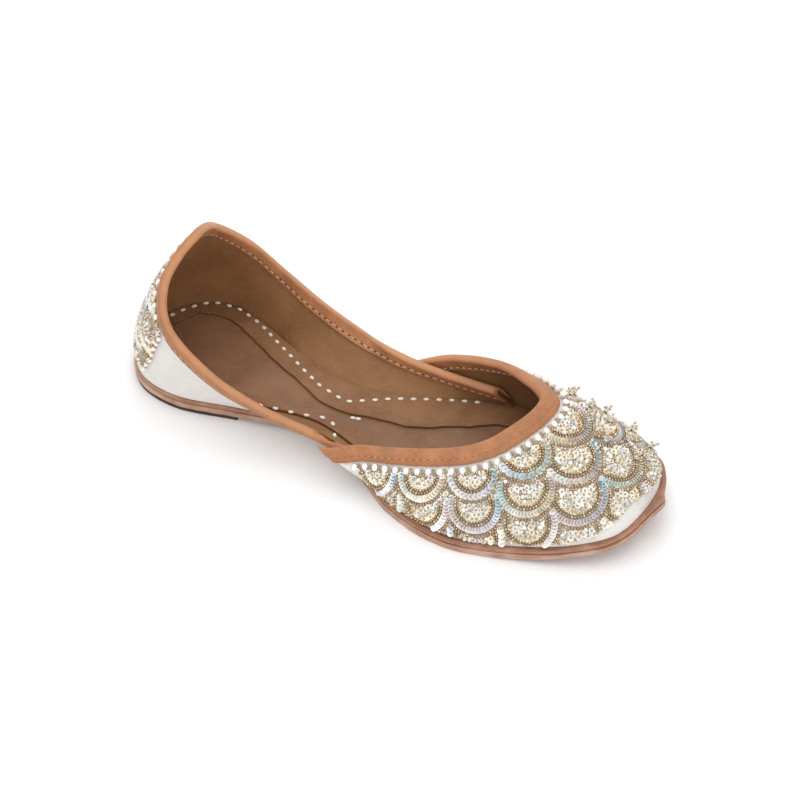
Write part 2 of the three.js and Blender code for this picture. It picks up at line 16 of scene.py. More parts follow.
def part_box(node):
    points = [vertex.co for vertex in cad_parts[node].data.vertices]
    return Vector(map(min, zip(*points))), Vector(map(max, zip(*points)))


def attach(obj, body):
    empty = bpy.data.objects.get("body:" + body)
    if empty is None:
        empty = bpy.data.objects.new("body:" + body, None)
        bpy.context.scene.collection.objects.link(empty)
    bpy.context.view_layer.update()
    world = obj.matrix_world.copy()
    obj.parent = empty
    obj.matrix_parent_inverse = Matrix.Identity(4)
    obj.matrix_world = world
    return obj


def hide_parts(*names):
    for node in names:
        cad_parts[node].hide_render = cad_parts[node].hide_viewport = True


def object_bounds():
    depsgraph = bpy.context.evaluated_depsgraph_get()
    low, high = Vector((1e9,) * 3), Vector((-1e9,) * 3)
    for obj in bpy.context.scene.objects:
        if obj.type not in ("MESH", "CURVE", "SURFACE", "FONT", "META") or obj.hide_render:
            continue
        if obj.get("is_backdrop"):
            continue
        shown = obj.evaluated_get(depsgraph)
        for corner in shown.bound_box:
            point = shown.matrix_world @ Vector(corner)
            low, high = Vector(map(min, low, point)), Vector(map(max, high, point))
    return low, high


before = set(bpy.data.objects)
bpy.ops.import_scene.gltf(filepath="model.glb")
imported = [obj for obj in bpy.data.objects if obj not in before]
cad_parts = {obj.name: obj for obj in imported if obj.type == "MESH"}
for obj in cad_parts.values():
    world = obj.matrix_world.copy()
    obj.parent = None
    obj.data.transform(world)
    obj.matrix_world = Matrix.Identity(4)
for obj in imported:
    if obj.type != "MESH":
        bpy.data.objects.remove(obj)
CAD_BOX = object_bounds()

log = logging.getLogger("mojari")
Array = np.ndarray
Surface = Callable[[Array, Array], Array]
Line = Callable[[Array], Array]
Pair = tuple[float, float]
Color = tuple[float, float, float]
Shape = bmesh.types.BMesh
Mesh = bpy.types.Mesh
Piece = bpy.types.Object
Material = bpy.types.Material
Socket = bpy.types.NodeSocket
MM = 0.001
WELD = 2e-6
WHITE = (1.0, 1.0, 1.0)
# Edges sharper than this stay sharp.
SHARP = math.radians(50)
# Length round the rim, for patterns.
RIM_RUN = 0.62


class Slot(Enum):
    """Material slots of the record."""

    SOLE = "sole_edge_leather"
    LIFT = "heel_lift_leather"
    FOOTBED = "footbed_leather"
    LINING = "lining_leather"
    UPPER = "upper_leather"
    BINDING = "binding_leather"
    BEADS = "beadwork"


def smooth(t: Array) -> Array:
    """Smoothstep of t between 0 and 1."""
    t = np.clip(t, 0.0, 1.0)
    return t * t * (3.0 - 2.0 * t)


def unit(v: Array) -> Array:
    """Vectors of v scaled to length 1."""
    return v / np.maximum(np.linalg.norm(v, axis=-1, keepdims=True), 1e-12)


def between(ends: Pair, share: Array) -> Array:
    """Value at a share of the way from one end to the other."""
    return ends[0] + (ends[1] - ends[0]) * share


def hermite(t: Array, start: Array, end: Array, leave: Array, arrive: Array) -> Array:
    """Cubic from start to end at t between 0 and 1, with its two slopes.

    Args:
        t: Place along the cubic.
        start: Value at its start.
        end: Value at its end.
        leave: Slope at its start.
        arrive: Slope at its end.

    Returns:
        The values.
    """
    return (
        (2 * t**3 - 3 * t**2 + 1) * start + (t**3 - 2 * t**2 + t) * leave
        + (3 * t**2 - 2 * t**3) * end + (t**3 - t**2) * arrive
    )


def along_line(points: Array) -> Array:
    """Length run through at each point of a line."""
    return np.concatenate([[0.0], np.cumsum(np.linalg.norm(np.diff(points, axis=0), axis=-1))])


@dataclass
class Last:
    """The shoe's form: outline of the sole and sections of the upper, in metres."""

    sole_length: float = 243.5 * MM
    ball_width: float = 88.0 * MM
    heel_height: float = 66.8 * MM
    instep_height: float = 34.0 * MM
    nose_reach: float = 3.2 * MM
    nose_width: float = 11.0 * MM
    nose_curl: float = 0.8
    toe_spring: float = 10.0 * MM
    outsole: float = 2.5 * MM
    midsole: float = 2.0 * MM
    insole: float = 1.2 * MM
    margin: float = 0.9 * MM
    lift: float = 1.6 * MM
    lift_length: float = 60.0 * MM
    wall: float = 1.6 * MM
    binding: float = 0.8 * MM
    gap: float = 0.3 * MM
    heel_ledge: float = 1.0 * MM
    ball_ledge: float = 2.6 * MM
    spring_start: float = 0.72
    arch_start: float = 0.54
    lateral_wing: float = 0.27
    medial_wing: float = 0.73
    lateral_tuck: float = 0.333
    medial_tuck: float = 0.672
    tuck_ease: float = 0.07
    tuck_inset: float = 3.2 * MM
    wing_rounding: float = 0.04
    wing_drop: float = 0.12
    normal_span: float = 0.004
    curve_steps: int = 60
    ledge_start: float = 0.3
    ledge_ease: float = 0.3
    top_step: float = 0.02
    low_wall: Sequence[float] = (0.0, 0.04, 0.08, 0.12, 0.16, 0.24, 0.32, 0.4)
    # Outline: shares of the sole's length and of the ball's width, heel back first, by the lateral side.
    outline: Sequence[Pair] = (
        (0.0, 0.148), (0.012, -0.003), (0.055, -0.148), (0.131, -0.209), (0.246, -0.163), (0.39, -0.114),
        (0.48, -0.222), (0.58, -0.42), (0.69, -0.507), (0.805, -0.458), (0.91, -0.362), (0.972, -0.243),
        (0.998, -0.02), (0.996, 0.165), (0.965, 0.33), (0.88, 0.452), (0.755, 0.495), (0.615, 0.463),
        (0.5, 0.325), (0.402, 0.25), (0.3, 0.32), (0.19, 0.46), (0.12, 0.503), (0.055, 0.445),
        (0.012, 0.3),
    )
    # Sections: rim, along, across, heel, instep, lean, climb, swell.
    sections: Sequence[tuple[float, ...]] = (
        (0.0, 0.123, 0.142, 0.98, 0.0, 0.15, 0.48, 0.0),
        (0.03, 0.11, 0.025, 0.91, 0.0, 0.16, 0.48, 0.005),
        (0.06, 0.103, -0.092, 0.785, 0.0, 0.22, 0.48, 0.025),
        (0.1, 0.135, -0.232, 0.59, 0.0, 0.4, 0.48, 0.05),
        (0.14, 0.23, -0.29, 0.367, 0.0, 0.55, 0.48, 0.03),
        (0.17, 0.3, -0.301, 0.275, 0.0, 0.6, 0.48, 0.02),
        (0.205, 0.36, -0.297, 0.12, 0.2, 0.6, 0.5, 0.02),
        (0.236, 0.396, -0.305, 0.02, 0.36, 0.55, 0.5, 0.02),
        (0.27, 0.43, -0.335, 0.0, 0.38, 0.5, 0.5, 0.035),
        (0.29, 0.4835, -0.285, 0.0, 0.4, 0.35, 0.52, 0.035),
        (0.31, 0.545, -0.278, 0.0, 0.509, 0.25, 0.56, 0.03),
        (0.353, 0.654, -0.227, 0.0, 0.692, 0.14, 0.6, 0.015),
        (0.405, 0.724, -0.136, 0.0, 0.866, 0.12, 0.6, 0.01),
        (0.43, 0.7464, -0.057, 0.0, 0.939, 0.11, 0.52, 0.005),
        (0.5, 0.771, 0.12, 0.0, 1.0, 0.1, 0.48, 0.0),
        (0.54, 0.766, 0.185, 0.0, 0.997, 0.1, 0.47, 0.0),
        (0.593, 0.724, 0.284, 0.0, 0.933, 0.12, 0.49, 0.01),
        (0.65, 0.65, 0.398, 0.0, 0.75, 0.2, 0.51, 0.012),
        (0.695, 0.5595, 0.435, 0.0, 0.508, 0.35, 0.55, 0.02),
        (0.73, 0.465, 0.415, 0.0, 0.24, 0.5, 0.5, 0.03),
        (0.762, 0.43, 0.41, 0.05, 0.31, 0.55, 0.5, 0.02),
        (0.79, 0.381, 0.4375, 0.12, 0.2, 0.6, 0.5, 0.02),
        (0.827, 0.295, 0.494, 0.28, 0.0, 0.6, 0.48, 0.02),
        (0.857, 0.225, 0.535, 0.375, 0.0, 0.55, 0.48, 0.03),
        (0.9, 0.157, 0.5, 0.598, 0.0, 0.4, 0.48, 0.05),
        (0.94, 0.115, 0.375, 0.8085, 0.0, 0.18, 0.48, 0.035),
        (0.97, 0.118, 0.255, 0.926, 0.0, 0.12, 0.48, 0.01),
    )
    # Sections of the quarters' front ends, under the vamp.
    fronts: Sequence[tuple[float, ...]] = (
        (0.235, 0.4183, -0.2867, 0.0, 0.362, 0.5, 0.5, 0.02),
        (0.25, 0.4491, -0.2787, 0.0, 0.299, 0.46, 0.5, 0.02),
        (0.262, 0.4758, -0.264, 0.0, 0.261, 0.42, 0.5, 0.02),
        (0.285, 0.5292, -0.289, 0.0, 0.22, 0.38, 0.5, 0.015),
        (0.31, 0.5928, -0.3378, 0.0, 0.203, 0.35, 0.5, 0.01),
        (0.333, 0.6585, -0.3776, 0.0, 0.209, 0.35, 0.5, 0.01),
        (0.672, 0.6544, 0.3928, 0.0, 0.306, 0.35, 0.5, 0.01),
        (0.69, 0.6092, 0.3838, 0.0, 0.332, 0.38, 0.5, 0.01),
        (0.71, 0.5559, 0.3747, 0.0, 0.365, 0.42, 0.5, 0.015),
        (0.728, 0.5066, 0.3701, 0.0, 0.395, 0.46, 0.5, 0.02),
        (0.745, 0.4655, 0.386, 0.0, 0.394, 0.5, 0.5, 0.02),
        (0.765, 0.4244, 0.4133, 0.0, 0.387, 0.54, 0.5, 0.02),
    )
    # Flange of lining over the footbed: rim, width as a share of the ball's width.
    margin_widths: Sequence[Pair] = (
        (0.0, 0.085), (0.06, 0.075), (0.1, 0.08), (0.14, 0.06), (0.17, 0.045), (0.195, 0.06),
        (0.22, 0.09), (0.235, 0.092), (0.258, 0.05), (0.3, 0.06), (0.38, 0.1), (0.5, 0.14),
        (0.62, 0.13), (0.675, 0.125), (0.7, 0.17), (0.73, 0.187), (0.76, 0.195), (0.775, 0.185),
        (0.8, 0.183), (0.825, 0.14), (0.86, 0.12), (0.91, 0.089), (0.95, 0.075),
    )

    def __post_init__(self) -> None:
        """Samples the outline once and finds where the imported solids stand."""
        self.heel_back = -(self.sole_length + self.nose_reach) / 2
        points = np.array(self.outline) * (self.sole_length, self.ball_width) + (self.heel_back, 0.0)
        self.curve = self._closed_curve(points, self.curve_steps)
        run = along_line(self.curve)
        self.share = run / run[-1]
        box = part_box("outsole")
        self.shift = np.array([box[0][0] - self.curve[:, 0].min(), box[0][1] - self.curve[:, 1].min(), 0.0])
        self.table = np.array(self.sections)
        behind = [row for row in self.sections if row[0] < self.fronts[0][0]]
        ahead = [row for row in self.sections if row[0] > self.fronts[-1][0]]
        self.quarter_table = np.array([*behind, *self.fronts, *ahead])
        self.flange = np.array(self.margin_widths)
        self.upper_base = self.outsole + self.gap + self.midsole + self.gap
        self.insole_top = self.upper_base + self.insole
        self.margin_base = self.insole_top + self.gap

    @staticmethod
    def _closed_curve(points: Array, steps: int) -> Array:
        """Closed centripetal Catmull-Rom curve through points.

        Args:
            points: The points to pass, in order.
            steps: Samples for each span.

        Returns:
            Samples of the curve, the first one repeated at the end.
        """
        out = []
        count = len(points)
        for i in range(count):
            p = [points[(i + k) % count] for k in (-1, 0, 1, 2)]
            d = [np.linalg.norm(p[k + 1] - p[k]) ** 0.5 for k in range(3)]
            m1 = d[1] * ((p[1] - p[0]) / d[0] - (p[2] - p[0]) / (d[0] + d[1]) + (p[2] - p[1]) / d[1])
            m2 = d[1] * ((p[2] - p[1]) / d[1] - (p[3] - p[1]) / (d[1] + d[2]) + (p[3] - p[2]) / d[2])
            t = (np.arange(steps) / steps)[:, None]
            out.append(hermite(t, p[1], p[2], m1, m2))
        return np.vstack(out + [points[:1]])

    def rim(self, u: Array, inset: Array | float = 0.0) -> Array:
        """Points of the outline at shares u of the rim, moved inward by inset."""
        s = np.mod(u, 1.0)
        point = np.stack([np.interp(s, self.share, self.curve[:, k]) for k in (0, 1)], -1)
        out = self.outward(u)[..., :2]
        flat = point - out * np.asarray(inset)[..., None]
        return np.concatenate([flat, np.zeros_like(flat[..., :1])], -1)

    def outward(self, u: Array) -> Array:
        """Outward directions of the outline in plan."""
        reach = 2e-3
        ends = []
        for side in (-reach, reach):
            s = np.mod(np.asarray(u) + side, 1.0)
            ends.append(np.stack([np.interp(s, self.share, self.curve[:, k]) for k in (0, 1)], -1))
        along = unit(ends[1] - ends[0])
        return np.stack([along[..., 1], -along[..., 0], np.zeros_like(along[..., 0])], -1)

    def underside(self, x: Array) -> Array:
        """Height of the sole's underside at x, before the shift."""
        along = (x - self.heel_back) / self.sole_length
        spring = np.maximum(0.0, (along - self.spring_start) / (1 - self.spring_start))
        heel = (self.arch_start - along) / (self.arch_start - self.lift_length / self.sole_length)
        return self.toe_spring * spring**2 + (self.lift + self.gap) * smooth(heel)

    def nose(self, point: Array) -> Array:
        """Forward push of the sole's edge at the toe."""
        beside = (point[..., 1] - self.rim(np.array(0.5))[1]) / (self.nose_width / 2)
        forward = smooth((point[..., 0] - self.heel_back) / self.sole_length)
        return np.where(point[..., 0] > 0, self.nose_reach * np.exp(-(beside**2)) * forward, 0.0)

    @staticmethod
    def column(rows: Array, k: int, u: Array) -> Array:
        """Column k of a table at shares u of the rim, smooth all the way round."""
        at = np.concatenate([rows[-2:, 0] - 1, rows[:, 0], rows[:3, 0] + 1])
        value = np.concatenate([rows[-2:, k], rows[:, k], rows[:3, k]])
        gaps = np.diff(at)
        rate = np.diff(value) / gaps
        slope = (rate[:-1] * gaps[1:] + rate[1:] * gaps[:-1]) / (gaps[:-1] + gaps[1:])
        s = np.mod(u, 1.0)
        i = np.clip(np.searchsorted(at, s, side="right") - 1, 1, len(at) - 3)
        span = gaps[i]
        t = (s - at[i]) / span
        return hermite(t, value[i], value[i + 1], span * slope[i - 1], span * slope[i])

    def tuck(self, u: Array) -> Array:
        """How far in the quarters' foot stands to make room for the vamp's."""
        s = np.mod(u, 1.0)
        lateral = s < 0.5
        behind = np.where(lateral, self.lateral_wing - s, s - self.medial_wing)
        ahead = np.where(lateral, s - self.lateral_tuck, self.medial_tuck - s)
        return self.tuck_inset * smooth(1 - behind / self.tuck_ease) * smooth(1 - ahead / self.tuck_ease)

    def ledge(self, u: Array) -> Array:
        """Width of sole standing out beyond the upper."""
        along = (self.rim(u)[..., 0] - self.heel_back) / self.sole_length
        return between((self.heel_ledge, self.ball_ledge), smooth((along - self.ledge_start) / self.ledge_ease))

    def skin(self, u: Array, h: Array, tucked: bool = False) -> Array:
        """Outer surface of the upper at rim share u and height share h, before the shift.

        Args:
            u: Shares of the rim.
            h: Shares of the wall's height.
            tucked: Whether it is the quarters' surface, which dives under the vamp.

        Returns:
            Points in metres.
        """
        rows = self.quarter_table if tucked else self.table
        foot = self.rim(u, self.ledge(u) + (self.tuck(u) if tucked else 0.0))
        foot[..., 2] = self.underside(foot[..., 0]) + self.upper_base
        top = np.zeros_like(foot)
        top[..., 0] = self.heel_back + self.column(rows, 1, u) * self.sole_length
        top[..., 1] = self.column(rows, 2, u) * self.ball_width
        rise = self.column(rows, 3, u) * self.heel_height + self.column(rows, 4, u) * self.instep_height
        top[..., 2] = self.underside(top[..., 0]) + self.upper_base + rise
        full = foot + (top - foot) * self.column(rows, 5, u)[..., None]
        full[..., 2] = foot[..., 2] + (top[..., 2] - foot[..., 2]) * self.column(rows, 6, u)
        full = full + self.outward(u) * (self.column(rows, 7, u) * self.ball_width)[..., None]
        h = np.asarray(h)[..., None]
        return foot * (1 - h) ** 2 + full * 2 * h * (1 - h) + top * h**2

    def normal(self, u: Array, h: Array, tucked: bool = False) -> Array:
        """Outward normal of the vamp's surface, or of the quarters' where it is tucked."""
        reach = 1e-3
        round_ = self.skin(u + self.normal_span, h, tucked) - self.skin(u - self.normal_span, h, tucked)
        up = self.skin(u, h + reach, tucked) - self.skin(u, np.maximum(0.0, h - reach), tucked)
        return unit(np.cross(round_, up))

    def upper(self, u: Array, h: Array, depth: Array | float = 0.0, tucked: bool = False) -> Array:
        """Upper's surface sunk inward by depth, in the row's frame.

        Args:
            u: Shares of the rim.
            h: Shares of the wall's height.
            depth: Distance inward; negative stands out.
            tucked: Whether it is the quarters' surface.

        Returns:
            Points in metres.
        """
        u, h = np.broadcast_arrays(np.asarray(u, float), np.asarray(h, float))
        point = self.skin(u, h, tucked) - self.normal(u, h, tucked) * np.asarray(depth, float)[..., None]
        point[..., 2] = np.maximum(point[..., 2], self.underside(point[..., 0]) + self.upper_base)
        return point + self.shift

    def vamp_top(self, u: Array) -> Array:
        """Top line of the vamp as a share of the wall."""
        run = np.minimum(u - self.lateral_wing, self.medial_wing - u)
        return 1 - self.wing_drop * (1 - smooth(run / self.wing_rounding)) ** 2

    def quarter_top(self, u: Array) -> Array:
        """Top line of the quarters as a share of the wall."""
        return np.ones_like(u)

    def share_of(self, length: float, u: Array, top: Array, tucked: bool = False) -> Array:
        """Share of the wall's height that a length along the wall takes just under its top line."""
        run = self.skin(u, top, tucked) - self.skin(u, top - self.top_step, tucked)
        return length * self.top_step / np.linalg.norm(run, axis=-1)

    def square_share(self, length: float, u: Array, top_of: Line, tucked: bool) -> Array:
        """Share of the wall's height that a length square to the top line takes."""
        before, after = u - self.normal_span, u + self.normal_span
        edge = unit(self.skin(after, top_of(after), tucked) - self.skin(before, top_of(before), tucked))
        run = self.skin(u, top_of(u), tucked) - self.skin(u, top_of(u) - self.top_step, tucked)
        return length * self.top_step / np.linalg.norm(np.cross(run, edge), axis=-1)

    def inside_wall(self, u: Array, level: float) -> Array:
        """Distance inward from the outline that clears the upper's wall up to a level."""
        edge, out = self.rim(u), self.outward(u)

        def reach(depth: Array, tucked: bool) -> Array:
            insets = []
            for h in self.low_wall:
                p = self.upper(u, np.full_like(u, h), depth, tucked) - self.shift
                low = (p[..., 2] < self.underside(p[..., 0]) + level + 1 * MM) | (h == 0.0)
                insets.append(np.where(low, ((edge - p) * out)[..., :2].sum(-1), -1.0))
            return np.max(insets, axis=0)

        s = np.mod(u, 1.0)
        toe = (s > self.lateral_tuck) & (s < self.medial_tuck)
        beside = reach(self.wall + self.gap + self.tuck(u), False)
        behind = reach(np.full_like(u, self.wall + self.gap), True)
        return np.where(toe, beside, np.maximum(beside, behind)) + self.gap

    def on_sole(self, u: Array, inset: Array | float, level: float) -> Array:
        """Points over the sole at an inset from its outline, level above its underside."""
        point = self.rim(u, inset)
        point[..., 2] = self.underside(point[..., 0]) + level
        return point + self.shift


def sheet(rows: int, columns: int, place: Surface, uv: Optional[Surface] = None) -> Shape:
    """Closed form wrapped from a grid: its second share runs round a closed section.

    Args:
        rows: Cells along the first share.
        columns: Cells along the second share.
        place: Function of the two shares, 0 to 1, that gives points.
        uv: Function of the two shares that gives pattern coordinates in metres.

    Returns:
        The shape, with its pattern coordinates in the layer named weave.
    """
    bm = bmesh.new()
    bmesh.ops.create_grid(bm, x_segments=rows, y_segments=columns, size=0.5)
    bm.verts.ensure_lookup_table()
    flat = np.array([v.co[:2] for v in bm.verts]) + 0.5
    points = place(flat[:, 0], flat[:, 1])
    pattern = uv(flat[:, 0], flat[:, 1]) if uv else flat
    for vert, point in zip(bm.verts, points.tolist()):
        vert.co = point
    layer = bm.loops.layers.uv.new("weave")
    for face in bm.faces:
        for loop in face.loops:
            loop[layer].uv = pattern[loop.vert.index]
    bmesh.ops.remove_doubles(bm, verts=bm.verts, dist=WELD)
    open_edges = [edge for edge in bm.edges if edge.is_boundary]
    if open_edges:
        bmesh.ops.holes_fill(bm, edges=open_edges, sides=0)
    bmesh.ops.recalc_face_normals(bm, faces=bm.faces)
    return bm


def finish_piece(name: str, bm: Shape, material: Material, replaces: Sequence[str] = ()) -> Piece:
    """Makes an object of a bmesh, dresses it and lets it ride on the shoe.

    Args:
        name: Piece name.
        bm: Its shape, freed here.
        material: Its finish.
        replaces: CAD nodes that it stands for.

    Returns:
        The object.
    """
    mesh = bpy.data.meshes.new(name)
    for face in bm.faces:
        face.smooth = True
    bm.to_mesh(mesh)
    bm.free()
    mesh.set_sharp_from_angle(angle=SHARP)
    return dress(name, mesh, material, replaces)


def dress(name: str, mesh: Mesh, material: Material, replaces: Sequence[str] = ()) -> Piece:
    """Makes an object of a mesh, dresses it and lets it ride on the shoe.

    Args:
        name: Piece name.
        mesh: Its shape.
        material: Its finish.
        replaces: CAD nodes that it stands for.

    Returns:
        The object.
    """
    mesh.materials.append(material)
    piece = bpy.data.objects.new(name, mesh)
    bpy.context.scene.collection.objects.link(piece)
    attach(piece, "root")
    if replaces:
        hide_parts(*replaces)
    log.info("%s: %d faces", name, len(mesh.polygons))
    return piece


@dataclass
class Dye:
    """A node material being mixed for one finish."""

    name: str

    def __post_init__(self) -> None:
        """Starts the material with its shader."""
        self.material = bpy.data.materials.new(self.name)
        self.material.use_nodes = True
        self.tree = self.material.node_tree
        self.shader = self.tree.nodes["Principled BSDF"]
        self.place = self.node("TexCoord").outputs["Object"]

    def node(self, kind: str, inputs: Optional[dict] = None, **settings: object) -> bpy.types.Node:
        """Adds a node.

        Args:
            kind: Node type without its ShaderNode prefix.
            inputs: Socket name or number to a value or to another node's output.
            **settings: Properties of the node.

        Returns:
            The node.
        """
        made = self.tree.nodes.new("ShaderNode" + kind)
        for key, value in settings.items():
            setattr(made, key, value)
        for key, value in (inputs or {}).items():
            self.feed(made.inputs[key], value)
        return made

    def feed(self, socket: Socket, value: object) -> None:
        """Links an output to a socket, or sets the socket's value."""
        if isinstance(value, Socket):
            self.tree.links.new(value, socket)
        elif isinstance(value, tuple) and len(value) == 3 and socket.type == "RGBA":
            socket.default_value = (*value, 1.0)
        else:
            socket.default_value = value

    def stretched(self, vector: Socket, scale: Color) -> Socket:
        """A coordinate stretched along its axes."""
        return self.node("Mapping", {"Vector": vector, "Scale": scale}).outputs["Vector"]

    def noise(self, size: float, detail: float = 3.0, vector: Optional[Socket] = None) -> Socket:
        """Noise with features of a size in metres."""
        inputs = {"Vector": vector or self.place, "Scale": 1.0 / size, "Detail": detail, "Roughness": 0.6}
        return self.node("TexNoise", inputs).outputs[0]

    def cells(self, size: float) -> Socket:
        """Cells of a size in metres, by the distance to their edges."""
        inputs = {"Vector": self.place, "Scale": 1.0 / size, "Randomness": 1.0}
        return self.node("TexVoronoi", inputs, feature="DISTANCE_TO_EDGE").outputs["Distance"]

    def band(self, value: Socket, low: float, high: float, start: float = 0.0, end: float = 1.0) -> Socket:
        """A value spread smoothly from the range low to high over start to end."""
        inputs = {0: value, 1: low, 2: high, 3: start, 4: end}
        return self.node("MapRange", inputs, interpolation_type="SMOOTHSTEP").outputs[0]

    def blend(self, share: object, first: object, second: object) -> Socket:
        """Two colours mixed by a share."""
        made = self.node("Mix", data_type="RGBA")
        self.feed(made.inputs[0], share)
        self.feed(made.inputs[6], first)
        self.feed(made.inputs[7], second)
        return made.outputs[2]

    def math(self, how: str, first: object, second: object = 0.0) -> Socket:
        """Sum, product or the like of two values."""
        return self.node("Math", {0: first, 1: second}, operation=how).outputs[0]

    def coat(self, color: object, roughness: object, bump: object) -> Material:
        """Feeds the shader and gives the material."""
        for name, value in (("Base Color", color), ("Roughness", roughness), ("Normal", bump)):
            self.feed(self.shader.inputs[name], value)
        return self.material

    def relief(
        self, height: Socket, depth: float, strength: float = 1.0, over: Optional[Socket] = None
    ) -> Socket:
        """A bump of a depth in metres, over another one where it is given."""
        made = self.node("Bump", {"Height": height, "Distance": depth, "Strength": strength})
        if over is not None:
            self.feed(made.inputs["Normal"], over)
        return made.outputs[0]

    def weave(self) -> tuple[Socket, Socket, Socket]:
        """The piece's own pattern coordinates, and their two parts."""
        flat = self.node("UVMap", uv_map="weave").outputs[0]
        parts = self.node("SeparateXYZ", {0: flat})
        return flat, parts.outputs[0], parts.outputs[1]


@dataclass(frozen=True)
class Leather:
    """Grained leather with tone in patches, pores and worn high spots."""

    name: str
    shade: Color
    deep: Color
    pale: Color
    roughness: float = 0.55
    grain: float = 0.9 * MM
    relief: float = 0.10 * MM
    patch: float = 14 * MM
    gloss: float = 0.3

    def mix(self) -> Material:
        """Makes the material."""
        dye = Dye(self.name)
        patches = dye.noise(self.patch, 4.0)
        fine = dye.noise(self.grain * 2.4, 5.0)
        creases = dye.cells(self.grain)
        pores = dye.band(dye.noise(self.grain * 0.45, 1.0), 0.62, 0.72)
        color = dye.blend(dye.band(patches, 0.32, 0.68), self.deep, self.shade)
        color = dye.blend(dye.band(fine, 0.5, 0.78, 0.0, 0.55), color, self.pale)
        color = dye.blend(dye.band(creases, 0.0, 0.09, 0.35, 0.0), color, self.deep)
        color = dye.blend(dye.math("MULTIPLY", pores, 0.3), color, self.deep)
        dye.shader.inputs["Specular IOR Level"].default_value = self.gloss
        rough = dye.band(fine, 0.3, 0.7, self.roughness - 0.1, self.roughness + 0.1)
        bump = dye.relief(dye.band(creases, 0.0, 0.12), self.relief)
        bump = dye.relief(dye.noise(self.grain * 5, 2.0), self.relief * 2.2, 0.6, bump)
        return dye.coat(color, rough, dye.relief(pores, -self.relief, 0.5, bump))


@dataclass(frozen=True)
class CutEdge:
    """Raw leather edge of a sole: streaked along its layers, burnished, scuffed below."""

    name: str
    shade: Color
    deep: Color
    pale: Color
    bottom: Color

    def mix(self) -> Material:
        """Makes the material."""
        dye = Dye(self.name)
        flat, _, level = dye.weave()
        streaks = dye.noise(1.0 * MM, 4.0, dye.stretched(flat, (0.05, 1.3, 1.0)))
        patches = dye.noise(11 * MM, 3.0)
        fibres = dye.noise(0.5 * MM, 3.0, dye.stretched(flat, (0.35, 1.0, 1.0)))
        color = dye.blend(dye.band(streaks, 0.35, 0.65), self.deep, self.shade)
        color = dye.blend(dye.band(patches, 0.4, 0.75, 0.0, 0.6), color, self.pale)
        color = dye.blend(dye.band(fibres, 0.55, 0.8, 0.0, 0.35), color, self.pale)
        under = dye.band(level, -0.4 * MM, -1.2 * MM)
        sole = dye.blend(dye.band(dye.noise(3 * MM, 5.0), 0.3, 0.7), self.deep, self.bottom)
        scuffs = dye.noise(2 * MM, 3.0, dye.stretched(dye.place, (0.12, 1.0, 1.0)))
        sole = dye.blend(dye.band(scuffs, 0.58, 0.7, 0.0, 0.5), sole, self.pale)
        dye.shader.inputs["Specular IOR Level"].default_value = 0.35
        bump = dye.relief(fibres, 0.08 * MM, 0.7, dye.relief(streaks, 0.16 * MM, 0.8))
        return dye.coat(dye.blend(under, color, sole), dye.band(streaks, 0.3, 0.7, 0.42, 0.62), bump)


@dataclass(frozen=True)
class Strip:
    """Binding leather: stretched wrinkles across the strip, with a painted highlight along its fold."""

    name: str
    shade: Color
    deep: Color
    pale: Color

    def mix(self) -> Material:
        """Makes the material; the pattern's second coordinate is the length down from the fold."""
        dye = Dye(self.name)
        flat, _, down = dye.weave()
        wrinkles = dye.noise(1.3 * MM, 3.0, dye.stretched(flat, (1.0, 0.22, 1.0)))
        patches = dye.noise(9 * MM, 3.0)
        pores = dye.band(dye.noise(0.4 * MM, 1.0), 0.6, 0.7)
        creases = dye.cells(0.8 * MM)
        away = dye.math("ABSOLUTE", down)
        # Painted highlight: within about 2 mm of the fold the colour is mixed towards the pale tone.
        fold = dye.band(away, 1.8 * MM, 0.2 * MM)
        edge = dye.band(down, 6.6 * MM, 7.5 * MM)
        color = dye.blend(dye.band(patches, 0.3, 0.7), self.deep, self.shade)
        color = dye.blend(dye.band(wrinkles, 0.5, 0.8, 0.0, 0.5), color, self.pale)
        color = dye.blend(dye.math("MULTIPLY", fold, 0.55), color, self.pale)
        color = dye.blend(dye.math("MULTIPLY", edge, 0.5), color, self.deep)
        color = dye.blend(dye.math("MULTIPLY", pores, 0.3), color, self.deep)
        dye.shader.inputs["Specular IOR Level"].default_value = 0.4
        bump = dye.relief(wrinkles, 0.16 * MM, 0.8)
        bump = dye.relief(dye.band(creases, 0.0, 0.12), 0.05 * MM, 0.8, bump)
        return dye.coat(color, dye.band(patches, 0.3, 0.7, 0.38, 0.55), bump)


@dataclass(frozen=True)
class Bead:
    """Glass, metal and foil of the beadwork; each bead brings its own tint, with painted glints mixed in."""

    name: str
    metal: float
    roughness: float
    coat: float = 0.0
    glass: float = 0.0
    # Share of white mixed into the tint in spots: painted glints.
    painted_glint: float = 0.15

    def mix(self) -> Material:
        """Makes the material."""
        dye = Dye(self.name)
        tint = dye.node("Attribute", attribute_name="tint").outputs["Color"]
        mottle = dye.noise(0.6 * MM, 2.0)
        # Painted glints: where the fine mottle is high, the tint is mixed towards white.
        color = dye.blend(dye.band(mottle, 0.3, 0.7, 0.0, self.painted_glint), tint, (1.0, 1.0, 1.0))
        for socket, value in (
            ("Metallic", self.metal), ("Coat Weight", self.coat), ("Coat Roughness", 0.08),
            ("Transmission Weight", self.glass),
        ):
            dye.shader.inputs[socket].default_value = value
        rough = dye.band(mottle, 0.3, 0.7, self.roughness * 0.7, self.roughness * 1.3)
        return dye.coat(color, rough, dye.relief(mottle, 0.03 * MM, 0.5))


@dataclass(frozen=True)
class Thread:
    """Waxed cotton thread with its twist."""

    name: str
    shade: Color
    deep: Color

    def mix(self) -> Material:
        """Makes the material."""
        dye = Dye(self.name)
        fuzz = dye.noise(0.35 * MM, 4.0, dye.stretched(dye.place, (1.0, 0.4, 0.7)))
        color = dye.blend(dye.band(fuzz, 0.3, 0.7), self.deep, self.shade)
        dye.shader.inputs["Sheen Weight"].default_value = 0.3
        return dye.coat(color, dye.band(fuzz, 0.3, 0.7, 0.6, 0.85), dye.relief(fuzz, 0.12 * MM))


